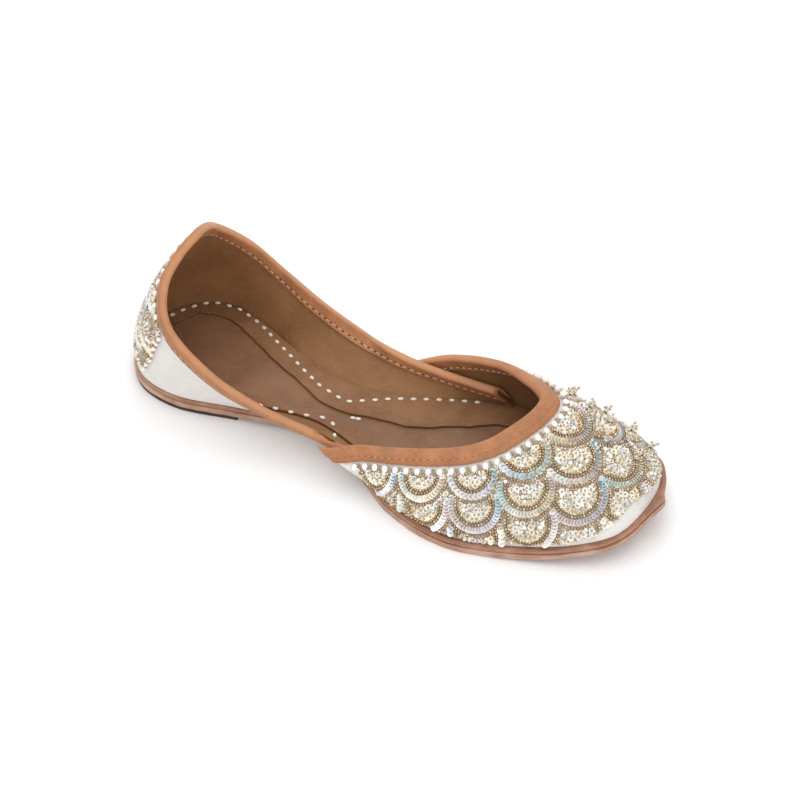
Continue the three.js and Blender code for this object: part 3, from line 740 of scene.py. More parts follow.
class Finishes:
    """All finishes of the shoe, mixed once."""

    def __init__(self) -> None:
        """Mixes them; each leather has its shade, its deep tone and its pale one."""
        self.outsole = CutEdge(
            "outsole_cut_leather",
            (0.50, 0.29, 0.20), (0.31, 0.155, 0.095), (0.66, 0.46, 0.36), (0.42, 0.24, 0.14),
        ).mix()
        self.midsole = CutEdge(
            "midsole_cut_leather",
            (0.40, 0.20, 0.125), (0.21, 0.09, 0.05), (0.54, 0.32, 0.22), (0.34, 0.17, 0.09),
        ).mix()
        self.lift = CutEdge(
            "heel_lift_dark_leather",
            (0.055, 0.03, 0.02), (0.02, 0.012, 0.009), (0.12, 0.07, 0.05), (0.05, 0.03, 0.022),
        ).mix()
        self.footbed = Leather(
            "footbed_brown_leather", (0.27, 0.138, 0.072), (0.20, 0.098, 0.048), (0.34, 0.185, 0.105),
            roughness=0.5, grain=0.7 * MM, relief=0.05 * MM, patch=22 * MM,
        ).mix()
        self.lining = Leather(
            "lining_tan_leather", (0.33, 0.165, 0.07), (0.25, 0.115, 0.045), (0.41, 0.22, 0.105),
            roughness=0.58, grain=0.8 * MM, relief=0.07 * MM, patch=26 * MM,
        ).mix()
        self.flange = Leather(
            "margin_tan_leather", (0.29, 0.142, 0.066), (0.21, 0.098, 0.043), (0.38, 0.21, 0.11),
            roughness=0.56, grain=0.8 * MM, relief=0.07 * MM, patch=18 * MM,
        ).mix()
        self.upper = Leather(
            "upper_white_leather", (0.82, 0.79, 0.76), (0.74, 0.71, 0.67), (0.87, 0.85, 0.83),
            roughness=0.62, grain=0.7 * MM, relief=0.06 * MM, patch=16 * MM,
        ).mix()
        self.binding = Strip(
            "binding_tan_leather", (0.46, 0.19, 0.078), (0.33, 0.13, 0.05), (0.57, 0.285, 0.14)
        ).mix()
        self.gold = Bead("antique_gold_beads", 1.0, 0.3, painted_glint=0.12).mix()
        self.sequin = Bead("iridescent_foil", 0.55, 0.28, 0.4).mix()
        self.cream_foil = Bead("cream_foil", 0.3, 0.3, 0.4).mix()
        self.wire = Bead("dark_silver_wire", 1.0, 0.32, painted_glint=0.1).mix()
        self.pearl = Bead("pearl_glaze", 0.0, 0.22, coat=0.7, painted_glint=0.3).mix()
        self.crystal = Bead("cut_glass", 0.0, 0.05, coat=0.8, glass=0.35, painted_glint=0.5).mix()
        # Thread ground: real thread, toned darker than the white leather to paint the shade in the gaps between
        # beads.
        self.ground = Thread("thread_ground_and_gap_shade", (0.74, 0.68, 0.58), (0.42, 0.34, 0.24)).mix()
        self.rose = Thread("rose_thread", (0.80, 0.62, 0.52), (0.50, 0.30, 0.22)).mix()
        self.cream = Thread("cream_thread", (0.82, 0.74, 0.60), (0.55, 0.42, 0.28)).mix()
        self.white = Thread("white_cotton_stitches", (0.86, 0.83, 0.77), (0.62, 0.55, 0.45)).mix()
        # Near-black dots of painted shade that stand for the pinholes.
        self.hole = Thread("stitch_hole_painted_shade", (0.03, 0.015, 0.008), (0.015, 0.008, 0.004)).mix()


def wrapped(profile: Array, values: Array) -> tuple[Array, ...]:
    """Columns of a profile looked up at grid shares 0 to 1."""
    k = np.rint(values * (len(profile) - 1)).astype(int)
    return tuple(profile[k].T)


@dataclass
class SoleUnit:
    """Outsole, midsole, heel lift and footbed."""

    last: Last
    finishes: Finishes
    rows: int = 360
    edge: float = 0.55 * MM
    setback: float = 0.5 * MM
    spine_steps: int = 9
    corner_steps: int = 5
    # Unevenness of the hand-cut edges: waves round the rim of the two layers.
    long_waves: int = 31
    short_waves: int = 73
    lift_inset: float = 0.3 * MM
    lift_rows: int = 150
    lift_run: float = 0.17

    def profile(self, thickness: float, edge: float) -> Array:
        """Cross-section from the underside's middle round the edge to the top's middle.

        Args:
            thickness: Thickness of the layer.
            edge: Radius of its corners.

        Returns:
            Rows of share towards the middle, inset, level and length along the section.
        """
        turn = np.linspace(0, math.pi / 2, self.corner_steps)
        inward = np.linspace(1, 0, self.spine_steps)[:-1]
        reach = 40 * MM
        rows = [(f, edge, 0.0, -edge - f * reach) for f in inward]
        rows += [(0, edge * (1 - math.sin(t)), edge * (1 - math.cos(t)), edge * (t - 1)) for t in turn]
        rows += [(0, 0.0, thickness * s, thickness * s) for s in (0.4, 0.6)]
        rows += [
            (0, edge * (1 - math.cos(t)), thickness - edge * (1 - math.sin(t)), thickness + edge * (t - 0.6))
            for t in turn
        ]
        rows += [(f, edge, thickness, thickness + edge + f * reach) for f in inward[::-1]]
        return np.array(rows)

    def slab(
        self, base: float, thickness: float, inset: Line, edge: float, nosed: bool, ripple: float = 0.0
    ) -> Shape:
        """Flat layer over the whole sole.

        Args:
            base: Level of its underside.
            thickness: Its thickness.
            inset: Distance inward from the outline at each rim share.
            edge: Radius of its corners.
            nosed: Whether it has the nose at the toe.
            ripple: Depth of the hand-cut edge's unevenness.

        Returns:
            The closed shape.
        """
        last = self.last
        profile = self.profile(thickness, edge)

        def place(s: Array, t: Array) -> Array:
            inward, step, level, _ = wrapped(profile, t)
            turn = s * 2 * math.pi
            wave = np.sin(turn * self.long_waves) * 0.5 + np.sin(turn * self.short_waves + 1.3) * 0.5
            rim_inset = inset(s)
            point = last.rim(s, rim_inset + step + ripple * wave)
            other = last.rim(1 - s, inset(1 - s) + step)
            middle = (last.rim(s, rim_inset + step) + other) / 2
            push = last.nose(point) if nosed else np.zeros(len(s))
            point = point + (middle - point) * inward[:, None]
            push = push * (1 - inward) ** 3
            point[:, 0] += push
            point[:, 2] = last.underside(point[:, 0]) + base + level + push * last.nose_curl
            return point + last.shift

        def pattern(s: Array, t: Array) -> Array:
            return np.stack([s * RIM_RUN, wrapped(profile, t)[3]], -1)

        return sheet(self.rows, len(profile) - 1, place, pattern)

    def outsole(self) -> Piece:
        """Thick lower layer with the nose."""
        bm = self.slab(0.0, self.last.outsole, lambda s: np.zeros(len(s)), self.edge, True, 0.1 * MM)
        return finish_piece("outsole_leather", bm, self.finishes.outsole, ["outsole"])

    def midsole(self) -> Piece:
        """Thinner layer set back from the outsole."""
        base = self.last.outsole + self.last.gap
        inset = lambda s: np.full(len(s), self.setback)
        bm = self.slab(base, self.last.midsole, inset, self.edge * 0.8, True, 0.12 * MM)
        return finish_piece("midsole_leather", bm, self.finishes.midsole, ["midsole"])

    def insole(self) -> Piece:
        """Footbed leather inside the walls."""
        last = self.last
        inset = lambda s: last.inside_wall(s, last.insole_top)
        bm = self.slab(last.upper_base, last.insole, inset, 0.2 * MM, False)
        return finish_piece("footbed_leather_sheet", bm, self.finishes.footbed, ["insole"])

    def heel_lift(self) -> Piece:
        """Dark piece under the heel with a straight front edge."""
        last = self.last
        front = last.heel_back + last.lift_length
        profile = self.profile(last.lift, self.lift_inset)
        half = np.linspace(-0.5, 0.5, 4001)
        run = half[last.rim(half)[:, 0] < front]

        def place(s: Array, t: Array) -> Array:
            inward, step, level, _ = wrapped(profile, t)
            u = between((run[0], run[-1]), s)
            point = last.rim(u, self.lift_inset + step)
            other = last.rim(-u, self.lift_inset + step)
            point[:, 0] = np.minimum(point[:, 0], front - step)
            point = point + ((point + other) / 2 - point) * inward[:, None]
            point[:, 2] = level
            return point + last.shift

        def pattern(s: Array, t: Array) -> Array:
            return np.stack([s * self.lift_run, wrapped(profile, t)[3]], -1)

        bm = sheet(self.lift_rows, len(profile) - 1, place, pattern)
        return finish_piece("heel_lift_leather_sheet", bm, self.finishes.lift, ["heel_lift"])

    def build(self) -> None:
        """Makes the four layers."""
        self.outsole()
        self.midsole()
        self.insole()
        self.heel_lift()


@dataclass
class UpperWalls:
    """Vamp and quarters in white leather with their linings, and the lining's flange on the footbed."""

    last: Last
    finishes: Finishes
    leather: float = 1.0 * MM
    seam: float = 0.05 * MM
    end_inset: float = 0.006
    wall_steps: int = 26
    wall_run: float = 0.05
    flange_rows: int = 420
    flange_edge: float = 0.3 * MM
    # Gathers of the flange round the heel: share of the rim, depth and rise.
    heel_span: float = 0.075
    notch: float = 1.6 * MM
    gather: float = 0.25 * MM

    def wall(self, rims: Pair, top: Line, outer: float, inner: float, tucked: bool, rows: int) -> Shape:
        """Curved wall between two depths of the upper's surface.

        Args:
            rims: First and last rim share.
            top: Height share of its top line.
            outer: Depth of its outer face.
            inner: Depth of its inner face.
            tucked: Whether it belongs to the quarters.
            rows: Cells along the rim.

        Returns:
            The closed shape.
        """
        up = np.linspace(0, 1, self.wall_steps)
        edge = [(1.0, s) for s in (0.33, 0.67)]
        profile = np.array([(h, 0.0) for h in up] + edge + [(h, 1.0) for h in up[::-1]] + [(0.0, 0.0)])
        last = self.last

        def place(s: Array, t: Array) -> Array:
            height, side = wrapped(profile, t)
            u = between(rims, s)
            return last.upper(u, height * top(u), outer + (inner - outer) * side, tucked)

        def pattern(s: Array, t: Array) -> Array:
            height, side = wrapped(profile, t)
            return np.stack([between(rims, s) * RIM_RUN, height * self.wall_run + side], -1)

        return sheet(rows, len(profile) - 1, place, pattern)

    def build(self) -> None:
        """Makes the two leathers, the two linings and the flange."""
        last, looks = self.last, self.finishes
        vamp = (last.lateral_wing, last.medial_wing)
        quarter = (last.medial_tuck - 1, last.lateral_tuck)
        bm = self.wall(vamp, last.vamp_top, 0.0, self.leather, False, 260)
        finish_piece("vamp_white_leather", bm, looks.upper, ["upper_vamp"])
        bm = self.wall(vamp, last.vamp_top, self.leather + self.seam, last.wall, False, 220)
        finish_piece("vamp_lining_leather", bm, looks.lining)
        hidden = (quarter[0] + self.end_inset, quarter[1] - self.end_inset)
        bm = self.wall(hidden, last.quarter_top, 0.0, self.leather, True, 300)
        finish_piece("quarters_white_leather", bm, looks.upper, ["upper_quarters"])
        bm = self.wall(quarter, last.quarter_top, self.leather + self.seam, last.wall, True, 300)
        finish_piece("quarters_lining_leather", bm, looks.lining)
        self.flange()

    def flange(self) -> Piece:
        """Lining turned in over the footbed, notched where it gathers round the heel."""
        last, edge = self.last, self.flange_edge
        turn = np.linspace(0, math.pi / 2, 4)
        profile = [(0.0, 0.0, 0.0), (0.0, 0.0, last.margin)]
        profile += [(f, 0.0, last.margin) for f in np.linspace(0.1, 0.95, 8)]
        profile += [(1.0, edge * (math.sin(t) - 1), last.margin - edge * (1 - math.cos(t))) for t in turn]
        profile += [(1.0, 0.0, edge * 0.5), (1.0, -edge * 0.3, 0.0), (0.0, 0.0, 0.0)]
        profile = np.array(profile)

        def place(s: Array, t: Array) -> Array:
            share, over, level = wrapped(profile, t)
            outer = last.inside_wall(s, last.margin_base + last.margin)
            width = last.column(last.flange, 1, s) * last.ball_width
            heel = np.exp(-((np.minimum(s, 1 - s) / self.heel_span) ** 4))
            notch = np.maximum(0.0, np.sin(s * 2 * math.pi * 58 + 2.0 * np.sin(s * 40))) ** 6
            ripple = 0.25 * MM * np.sin(s * 2 * math.pi * 23) + 0.15 * MM * np.sin(s * 2 * math.pi * 61 + 1)
            width = width - heel * notch * self.notch + ripple
            point = last.on_sole(s, outer + width * share + over, last.margin_base)
            point[:, 2] += level + heel * (1 - notch) * self.gather * share
            return point

        def pattern(s: Array, t: Array) -> Array:
            return np.stack([s * 0.6, wrapped(profile, t)[0] * 0.012], -1)

        bm = sheet(self.flange_rows, len(profile) - 1, place, pattern)
        return finish_piece("lining_flange", bm, self.finishes.flange, ["lining_margin"])


@dataclass
class Bindings:
    """Tan strips folded over both top lines."""

    last: Last
    finishes: Finishes
    outside: float = 7.4 * MM
    inside: float = 6.2 * MM
    crown: float = 1.0 * MM
    puff: float = 0.28 * MM
    groove: float = 5.0 * MM
    groove_width: float = 0.5 * MM
    inner_groove: float = 4.6 * MM
    fold_run: float = 1.5 * MM

    def profile(self) -> Array:
        """Cross-section: length down from the top line, depth in walls and own offset, pattern length."""
        last = self.last
        near, far = -last.gap, last.wall + last.gap
        skin = last.binding
        middle, half = (near + far) / 2, (far - near) / 2 + skin
        rows = []
        for down in np.linspace(self.outside, 0.0, 16):
            swell = self.puff * math.sin(math.pi * min(1.0, down / self.groove))
            dent = 0.25 * MM * math.exp(-(((down - self.groove) / self.groove_width) ** 2))
            lip = 0.25 * MM * max(0.0, (down - self.outside + 0.5 * MM) / (0.5 * MM)) ** 2
            rows.append((down, near - skin - swell + dent + lip, down + self.fold_run))
        for turn in np.linspace(0, math.pi, 13)[1:-1]:
            lean = math.cos(turn)
            rows.append((-last.gap - self.crown * math.sin(turn), middle - half * lean, self.fold_run * lean))
        for down in np.linspace(0.0, self.inside, 12):
            dent = 0.2 * MM * math.exp(-(((down - self.inner_groove) / self.groove_width) ** 2))
            rows.append((down, far + skin - dent, -down - self.fold_run))
        rows += [(self.inside, far, -self.inside - 2 * MM), (0.0, far, 0.0), (0.0, near, 0.0)]
        rows += [(self.outside, near, self.outside + 2 * MM), rows[0]]
        return np.array(rows)

    def strip(self, name: str, rims: Pair, top: Line, tucked: bool, rows: int, node: str) -> Piece:
        """One binding.

        Args:
            name: Piece name.
            rims: First and last rim share.
            top: Height share of the top line that it covers.
            tucked: Whether the covered wall belongs to the quarters.
            rows: Cells along the rim.
            node: CAD node that it stands for.

        Returns:
            The piece.
        """
        last, profile = self.last, self.profile()

        def place(s: Array, t: Array) -> Array:
            down, sink, _ = wrapped(profile, t)
            u = between(rims, s)
            at = top(u)
            wave = 0.12 * MM * np.sin(u * 620) * np.sin(u * 173 + 1.0)
            below = last.share_of(1.0, u, at, tucked) * (down + np.where(down > self.outside * 0.9, wave, 0.0))
            height = at - np.where(down > 0, below, last.square_share(1.0, u, top, tucked) * down)
            return last.upper(u, height, sink, tucked)

        def pattern(s: Array, t: Array) -> Array:
            return np.stack([between(rims, s) * 0.6, wrapped(profile, t)[2]], -1)

        bm = sheet(rows, len(profile) - 1, place, pattern)
        return finish_piece(name, bm, self.finishes.binding, [node])

    def build(self) -> None:
        """Makes both bindings."""
        last = self.last
        rims = (last.lateral_wing, last.medial_wing)
        self.strip("vamp_binding_strip", rims, last.vamp_top, False, 300, "vamp_binding")
        rims = (last.medial_tuck - 1, last.lateral_tuck)
        self.strip("quarter_binding_strip", rims, last.quarter_top, True, 400, "quarter_binding")


class BeadShape(Enum):
    """Small shapes of the embroidery, one unit across."""

    SEED = "seed bead"
    PEARL = "pearl"
    SEQUIN = "cupped sequin"
    CRYSTAL = "cut crystal"
    WIRE = "wire"
    STITCH = "stitch"

    def mould(self) -> Shape:
        """Makes the shape, lying along X with Z up."""
        bm = bmesh.new()
        if self in (BeadShape.SEED, BeadShape.STITCH):
            bmesh.ops.create_uvsphere(bm, u_segments=8, v_segments=5, radius=0.5)
        elif self is BeadShape.PEARL:
            bmesh.ops.create_uvsphere(bm, u_segments=14, v_segments=9, radius=0.5)
        elif self is BeadShape.WIRE:
            bmesh.ops.create_cone(bm, cap_ends=True, segments=8, radius1=0.5, radius2=0.5, depth=1.0)
            bmesh.ops.rotate(bm, verts=bm.verts, cent=(0, 0, 0), matrix=Matrix.Rotation(math.pi / 2, 3, "Y"))
        elif self is BeadShape.CRYSTAL:
            bmesh.ops.create_cone(bm, cap_ends=True, segments=8, radius1=0.5, radius2=0.24, depth=0.5)
            top = [face for face in bm.faces if face.normal.z > 0.9]
            bmesh.ops.inset_region(bm, faces=top, thickness=0.06, depth=0.04)
        else:
            bmesh.ops.create_circle(bm, segments=12, radius=0.5)
            hole = bmesh.ops.create_circle(bm, segments=12, radius=0.09)["verts"]
            bmesh.ops.translate(bm, verts=hole, vec=(0, 0, -0.07))
            bmesh.ops.bridge_loops(bm, edges=bm.edges)
            bmesh.ops.recalc_face_normals(bm, faces=bm.faces)
            bmesh.ops.solidify(bm, geom=bm.faces, thickness=0.05)
            bmesh.ops.recalc_face_normals(bm, faces=bm.faces)
        return bm


@dataclass
class Stamps:
    """Copies of one small shape, gathered over the surface and then joined."""

    name: str
    shape: BeadShape
    material: Material
    flat: bool = False
    frames: list[Array] = field(default_factory=list)
    tints: list[Array] = field(default_factory=list)

    def add(self, at: Array, along: Array, up: Array, size: Array, tint: Array) -> None:
        """Adds copies.

        Args:
            at: Their middles.
            along: Directions of their X axes.
            up: Directions of their Z axes.
            size: Their sizes along their own axes.
            tint: Their colours.
        """
        up = unit(up)
        across = unit(np.cross(up, along))
        axes = np.stack([np.cross(across, up), across, up], 1) * np.broadcast_to(size, at.shape)[:, :, None]
        self.frames.append(np.concatenate([axes, at[:, None, :]], 1))
        self.tints.append(np.broadcast_to(tint, at.shape))

    def join(self, slot: Slot) -> Piece:
        """Joins the copies to one piece."""
        frames, tints = np.concatenate(self.frames), np.concatenate(self.tints)
        bm = self.shape.mould()
        bm.verts.index_update()
        corners = np.array([v.co[:] for v in bm.verts])
        faces = [[v.index for v in face.verts] for face in bm.faces]
        bm.free()
        count = len(corners)
        points = np.einsum("vk,nkc->nvc", corners, frames[:, :3]) + frames[:, 3:4]
        every = [[k + n * count for k in face] for n in range(len(frames)) for face in faces]
        mesh = bpy.data.meshes.new(self.name)
        mesh.from_pydata(points.reshape(-1, 3), [], every)
        tint = mesh.attributes.new("tint", "FLOAT_COLOR", "POINT")
        shades = np.concatenate([np.repeat(tints, count, 0), np.ones((len(points) * count, 1))], 1)
        tint.data.foreach_set("color", shades.ravel())
        mesh.polygons.foreach_set("use_smooth", [not self.flat] * len(every))
        return dress(self.name, mesh, self.material)


@dataclass
class Chart:
    """The vamp's outer surface by the rim share and the length down from the top line."""

    last: Last
    rims: Pair
    top: Line
    columns: int = 420
    levels: int = 150
    step: float = 0.5 * MM
    deepest: float = 90 * MM
    tucked: bool = False

    def __post_init__(self) -> None:
        """Measures the surface once."""
        self.u = np.linspace(*self.rims, self.columns)
        share = np.linspace(1, 0, self.levels)
        u, t = np.meshgrid(self.u, share, indexing="ij")
        h = t * self.top(u)
        points = self.surface(u, h)
        run = np.linalg.norm(np.diff(points, axis=1), axis=-1)
        down = np.concatenate([np.zeros((self.columns, 1)), np.cumsum(run, axis=1)], 1)
        self.depths = np.arange(0, self.deepest, self.step)
        self.table = np.stack([np.interp(self.depths, down[k], h[k]) for k in range(self.columns)])
        self.length = down[:, -1]

    def surface(self, u: Array, h: Array) -> Array:
        """Points of the surface in the row's frame."""
        return self.last.skin(u, h, self.tucked) + self.last.shift

    def height(self, u: Array, down: Array | float) -> Array:
        """Height share at a length down from the top line."""
        column = np.clip((u - self.u[0]) / (self.u[1] - self.u[0]), 0, self.columns - 1.001)
        level = np.clip(np.full_like(u, down) / self.step, 0, len(self.depths) - 1.001)
        i, j = column.astype(int), level.astype(int)
        a, b = column - i, level - j
        table = self.table
        low = table[i, j] * (1 - b) + table[i, j + 1] * b
        high = table[i + 1, j] * (1 - b) + table[i + 1, j + 1] * b
        return low * (1 - a) + high * a

    def down(self, u: Array, h: Array) -> Array:
        """Length down from the top line at a height share."""
        column = np.clip(np.rint((u - self.u[0]) / (self.u[1] - self.u[0])), 0, self.columns - 1).astype(int)
        return np.array([np.interp(-x, -self.table[i], self.depths) for i, x in zip(column, h)])

    def spaced(self, down: float, pitch: Line | float, start: float) -> Array:
        """Rim shares spaced along a line below the top line.

        Args:
            down: Length of the line below the top line.
            pitch: Spacing, or a function that gives it at each rim share.
            start: Place of the first one, in pitches from the middle of the toe.

        Returns:
            Rim shares.
        """
        points = self.surface(self.u, self.height(self.u, down))
        step = pitch((self.u[1:] + self.u[:-1]) / 2) if callable(pitch) else pitch
        run = np.linalg.norm(np.diff(points, axis=0), axis=-1) / step
        count = np.concatenate([[0.0], np.cumsum(run)])
        count -= np.interp((self.rims[0] + self.rims[1]) / 2, self.u, count)
        at = np.arange(math.ceil(count[0] - start), math.floor(count[-1] - start) + 1) + start
        return np.interp(at, count, self.u)

    def axes(self, u: Array, h: Array) -> tuple[Array, Array, Array]:
        """Directions round the rim, down the wall and outward at points of the surface."""
        out = self.last.normal(u, h, self.tucked)
        round_ = self.surface(u + 1e-3, h) - self.surface(u - 1e-3, h)
        round_ = unit(round_ - out * (round_ * out).sum(-1, keepdims=True))
        return round_, np.cross(round_, out), out

    def settle(self, u: Array, h: Array, beside: Array, below: Array) -> tuple[Array, Array, Array]:
        """Finds the surface's points at offsets from others in their tangent planes.

        Args:
            u: Rim shares of the middles.
            h: Height shares of the middles.
            beside: Offsets round the rim.
            below: Offsets down the wall.

        Returns:
            Rim shares, height shares and what is left of the offsets.
        """
        round_, down, _ = self.axes(u, h)
        goal = self.surface(u, h) + round_ * beside[:, None] + down * below[:, None]
        tiny = 1e-3
        for _ in range(6):
            here = self.surface(u, h)
            along = (self.surface(u + tiny, h) - here) / tiny
            up = (self.surface(u, h + tiny) - here) / tiny
            miss = goal - here
            a, b = (along * round_).sum(-1), (up * round_).sum(-1)
            c, d = (along * down).sum(-1), (up * down).sum(-1)
            p, q = (miss * round_).sum(-1), (miss * down).sum(-1)
            det = a * d - b * c
            u = u + np.clip((p * d - q * b) / det, -0.03, 0.03)
            h = np.clip(h + np.clip((a * q - c * p) / det, -0.3, 0.3), 0.0, 1.0)
        miss = goal - self.surface(u, h)
        return u, h, np.hypot((miss * round_).sum(-1), (miss * down).sum(-1))


@dataclass(frozen=True)
class Scale:
    """One fish scale of the beadwork: its middle, radius and kind of filling."""

    u: float
    down: float
    radius: float
    row: int
    kind: int


class BeadBoxes:
    """Every kind of bead, gathered over the shoe before it is joined."""

    def __init__(self, looks: Finishes) -> None:
        """Opens the boxes."""
        self.borders = Stamps("scale_border_beads", BeadShape.SEED, looks.gold)
        self.fillers = Stamps("scale_filler_beads", BeadShape.SEED, looks.gold)
        self.sequins = Stamps("iridescent_sequins", BeadShape.SEQUIN, looks.sequin, True)
        self.cream_sequins = Stamps("cream_sequins", BeadShape.SEQUIN, looks.cream_foil, True)
        self.pearls = Stamps("pearl_beads", BeadShape.PEARL, looks.pearl)
        self.crystals = Stamps("cut_crystals", BeadShape.CRYSTAL, looks.crystal, True)
        self.stalks = Stamps("wire_stalks", BeadShape.WIRE, looks.wire)
        self.taken: list[Array] = []

    def join(self) -> None:
        """Joins each kind to one piece."""
        for box in vars(self).values():
            if isinstance(box, Stamps):
                box.join(Slot.BEADS)

    def gaps(self, points: Array, room: float) -> Array:
        """Whether points lie farther than room from every bead."""
        every = np.concatenate(self.taken)
        tree = KDTree(len(every))
        for k, point in enumerate(every):
            tree.insert(point, k)
        tree.balance()
        return np.array([tree.find(point)[2] > room for point in points])


@dataclass
class Embroidery:
    """Fish-scale beadwork of the vamp, on a ground of pale thread that is darker than the white leather, so that
    it also paints the shade in the gaps between beads.
    """

    last: Last
    finishes: Finishes
    boxes: BeadBoxes
    seed: float = 1.25 * MM
    sequin: float = 3.0 * MM
    pearl_line: float = 9.8 * MM
    pearl_pitch: float = 4.8 * MM
    first_row: float = 11.6 * MM
    row_step: float = 12.8 * MM
    rows: int = 6
    wing_pitch: float = 20.4 * MM
    toe_pitch: float = 23.8 * MM
    pitch_span: float = 0.13
    low: float = 0.04
    toe_lift: float = 0.16
    toe_middle: float = 0.478
    toe_span: float = 0.04
    bare_end: float = 0.012
    radius_share: float = 0.56
    radius_growth: float = 0.03
    sweep: float = math.radians(115)
    # Insets from a scale's edge: inner borders, band, fringe and filling.
    borders: Sequence[float] = (4.9 * MM, 6.0 * MM)
    band: float = 2.85 * MM
    fringe: float = 6.6 * MM
    filling: float = 6.3 * MM
    fill_pitch: float = 1.95 * MM
    gap_pitch: float = 1.12 * MM
    # Height of the sewn beads' middles over the leather.
    lift: float = 0.95 * MM
    # Ribbed scales on the ridge, by rim share.
    ridge: float = 0.56
    ridge_span: float = 0.035
    gold: Color = (0.50, 0.35, 0.20)
    pale_gold: Color = (0.78, 0.64, 0.42)
    steel: Color = (0.42, 0.39, 0.37)
    stalk: Color = (0.66, 0.58, 0.46)
    cream: Color = (0.93, 0.87, 0.70)
    straw: Color = (0.90, 0.80, 0.55)
    pearl: Color = (0.93, 0.91, 0.87)
    # Tints that the sequins pass through along an arc.
    foil: Sequence[Color] = (
        (0.90, 0.89, 0.86), (0.88, 0.80, 0.78), (0.78, 0.74, 0.80), (0.60, 0.75, 0.80), (0.74, 0.86, 0.82),
        (0.92, 0.91, 0.84), (0.90, 0.84, 0.66), (0.88, 0.78, 0.72), (0.68, 0.78, 0.80),
    )
    # Wire flowers on the ridge: rim share and length down from the top line.
    flowers: Sequence[Pair] = (
        (0.575, 15.0), (0.56, 22.0), (0.59, 20.0), (0.545, 29.0), (0.57, 31.0), (0.53, 38.0), (0.555, 41.0),
        (0.525, 47.0), (0.545, 50.0), (0.51, 30.0), (0.515, 44.0),
    )

    def __post_init__(self) -> None:
        """Charts the surface."""
        self.chart = Chart(self.last, (self.last.lateral_wing, self.last.medial_wing), self.last.vamp_top)
        self.random = np.random.default_rng(7)
        self.ends = (self.chart.rims[0] + self.bare_end, self.chart.rims[1] - self.bare_end)

    def foot(self, u: Array) -> Array:
        """Height share of the beadwork's lower edge."""
        return self.low + self.toe_lift * np.exp(-(((u - self.toe_middle) / self.toe_span) ** 2))

    def pitch(self, u: Array) -> Array:
        """Distance between scales of a row, wider over the toe."""
        return between((self.wing_pitch, self.toe_pitch), np.exp(-(((u - 0.5) / self.pitch_span) ** 2)))

    def scales(self) -> list[Scale]:
        """Lays out the scales in staggered rows, the top row first."""
        found = []
        for row in range(self.rows):
            down = self.first_row + row * self.row_step
            for k, u in enumerate(self.chart.spaced(down, self.pitch, 0.5 * (row % 2))):
                if down < np.interp(u, self.chart.u, self.chart.length) + 4 * MM:
                    radius = float(self.pitch(u)) * (self.radius_share + self.radius_growth * min(row, 2))
                    found.append(Scale(float(u), down, radius, row, (2 * k + row) % 5))
        return found

    def inside(self, u: Array, h: Array, slack: float = 0.0) -> Array:
        """Whether points lie in the beadwork's field, below the pearls."""
        free = (u > self.ends[0]) & (u < self.ends[1]) & (h > self.foot(u))
        return free & (self.chart.down(u, h) > self.pearl_line + 1.5 * MM + slack)

    def keep(
        self, scale: Scale, others: Sequence[Scale], beside: Array, below: Array, slack: float = 0.0
    ) -> tuple[Array, ...]:
        """Settles points of a scale and tells which of them show.

        Args:
            scale: The scale.
            others: Scales laid over it, and its neighbours in the row.
            beside: Offsets round the rim.
            below: Offsets down the wall.
            slack: Extra room kept to the field's edges and the scales above.

        Returns:
            Rim shares, height shares and whether each point shows.
        """
        u0 = np.full(len(beside), scale.u)
        u, h, miss = self.chart.settle(u0, self.chart.height(u0, scale.down), beside, below)
        at = self.chart.surface(u, h)
        own = np.hypot(beside, below) / scale.radius
        good = (miss < 0.3 * MM) & self.inside(u, h, slack)
        for other in others:
            far = np.linalg.norm(at - self.middle(other), axis=-1)
            good &= far / other.radius > own if other.row == scale.row else far > other.radius + slack
        return u, h, good

    def middle(self, scale: Scale) -> Array:
        """A scale's middle on the surface."""
        u = np.array([scale.u])
        return self.chart.surface(u, self.chart.height(u, scale.down))[0]

    def lay(
        self, box: Stamps, u: Array, h: Array, lift: float, size: object, tint: object,
        along: Optional[Array] = None, tilt: Optional[Array] = None,
    ) -> None:
        """Sews pieces of one kind on at points of the surface.

        Args:
            box: Kind of piece.
            u: Rim shares.
            h: Height shares.
            lift: Height of their middles over the leather.
            size: Their sizes.
            tint: Their colours.
            along: Directions of their X axes, or else round the rim.
            tilt: What is added to their upward directions.
        """
        if not len(u):
            return
        round_, _, out = self.chart.axes(u, h)
        at = self.chart.surface(u, h) + out * lift
        tint = np.clip(np.broadcast_to(tint, at.shape) * self.random.uniform(0.86, 1.1, (len(u), 1)), 0, 1)
        box.add(at, round_ if along is None else along, out if tilt is None else out + tilt, size, tint)
        self.boxes.taken.append(at)

    def ring(
        self, scale: Scale, others: Sequence[Scale], radius: float, pitch: float, limit: float
    ) -> tuple[Array, ...]:
        """Points round a scale at one radius, where they show, with their angles."""
        count = max(3, int(round(2 * limit * radius / pitch)))
        turn = np.linspace(-limit, limit, count)
        u, h, good = self.keep(scale, others, radius * np.sin(turn), radius * np.cos(turn))
        return u[good], h[good], turn[good]

    def turned(self, u: Array, h: Array, turn: Array) -> tuple[Array, Array]:
        """Directions along an arc and away from its middle at points of it."""
        round_, down, _ = self.chart.axes(u, h)
        away = round_ * np.sin(turn)[:, None] + down * np.cos(turn)[:, None]
        return round_ * np.cos(turn)[:, None] - down * np.sin(turn)[:, None], away

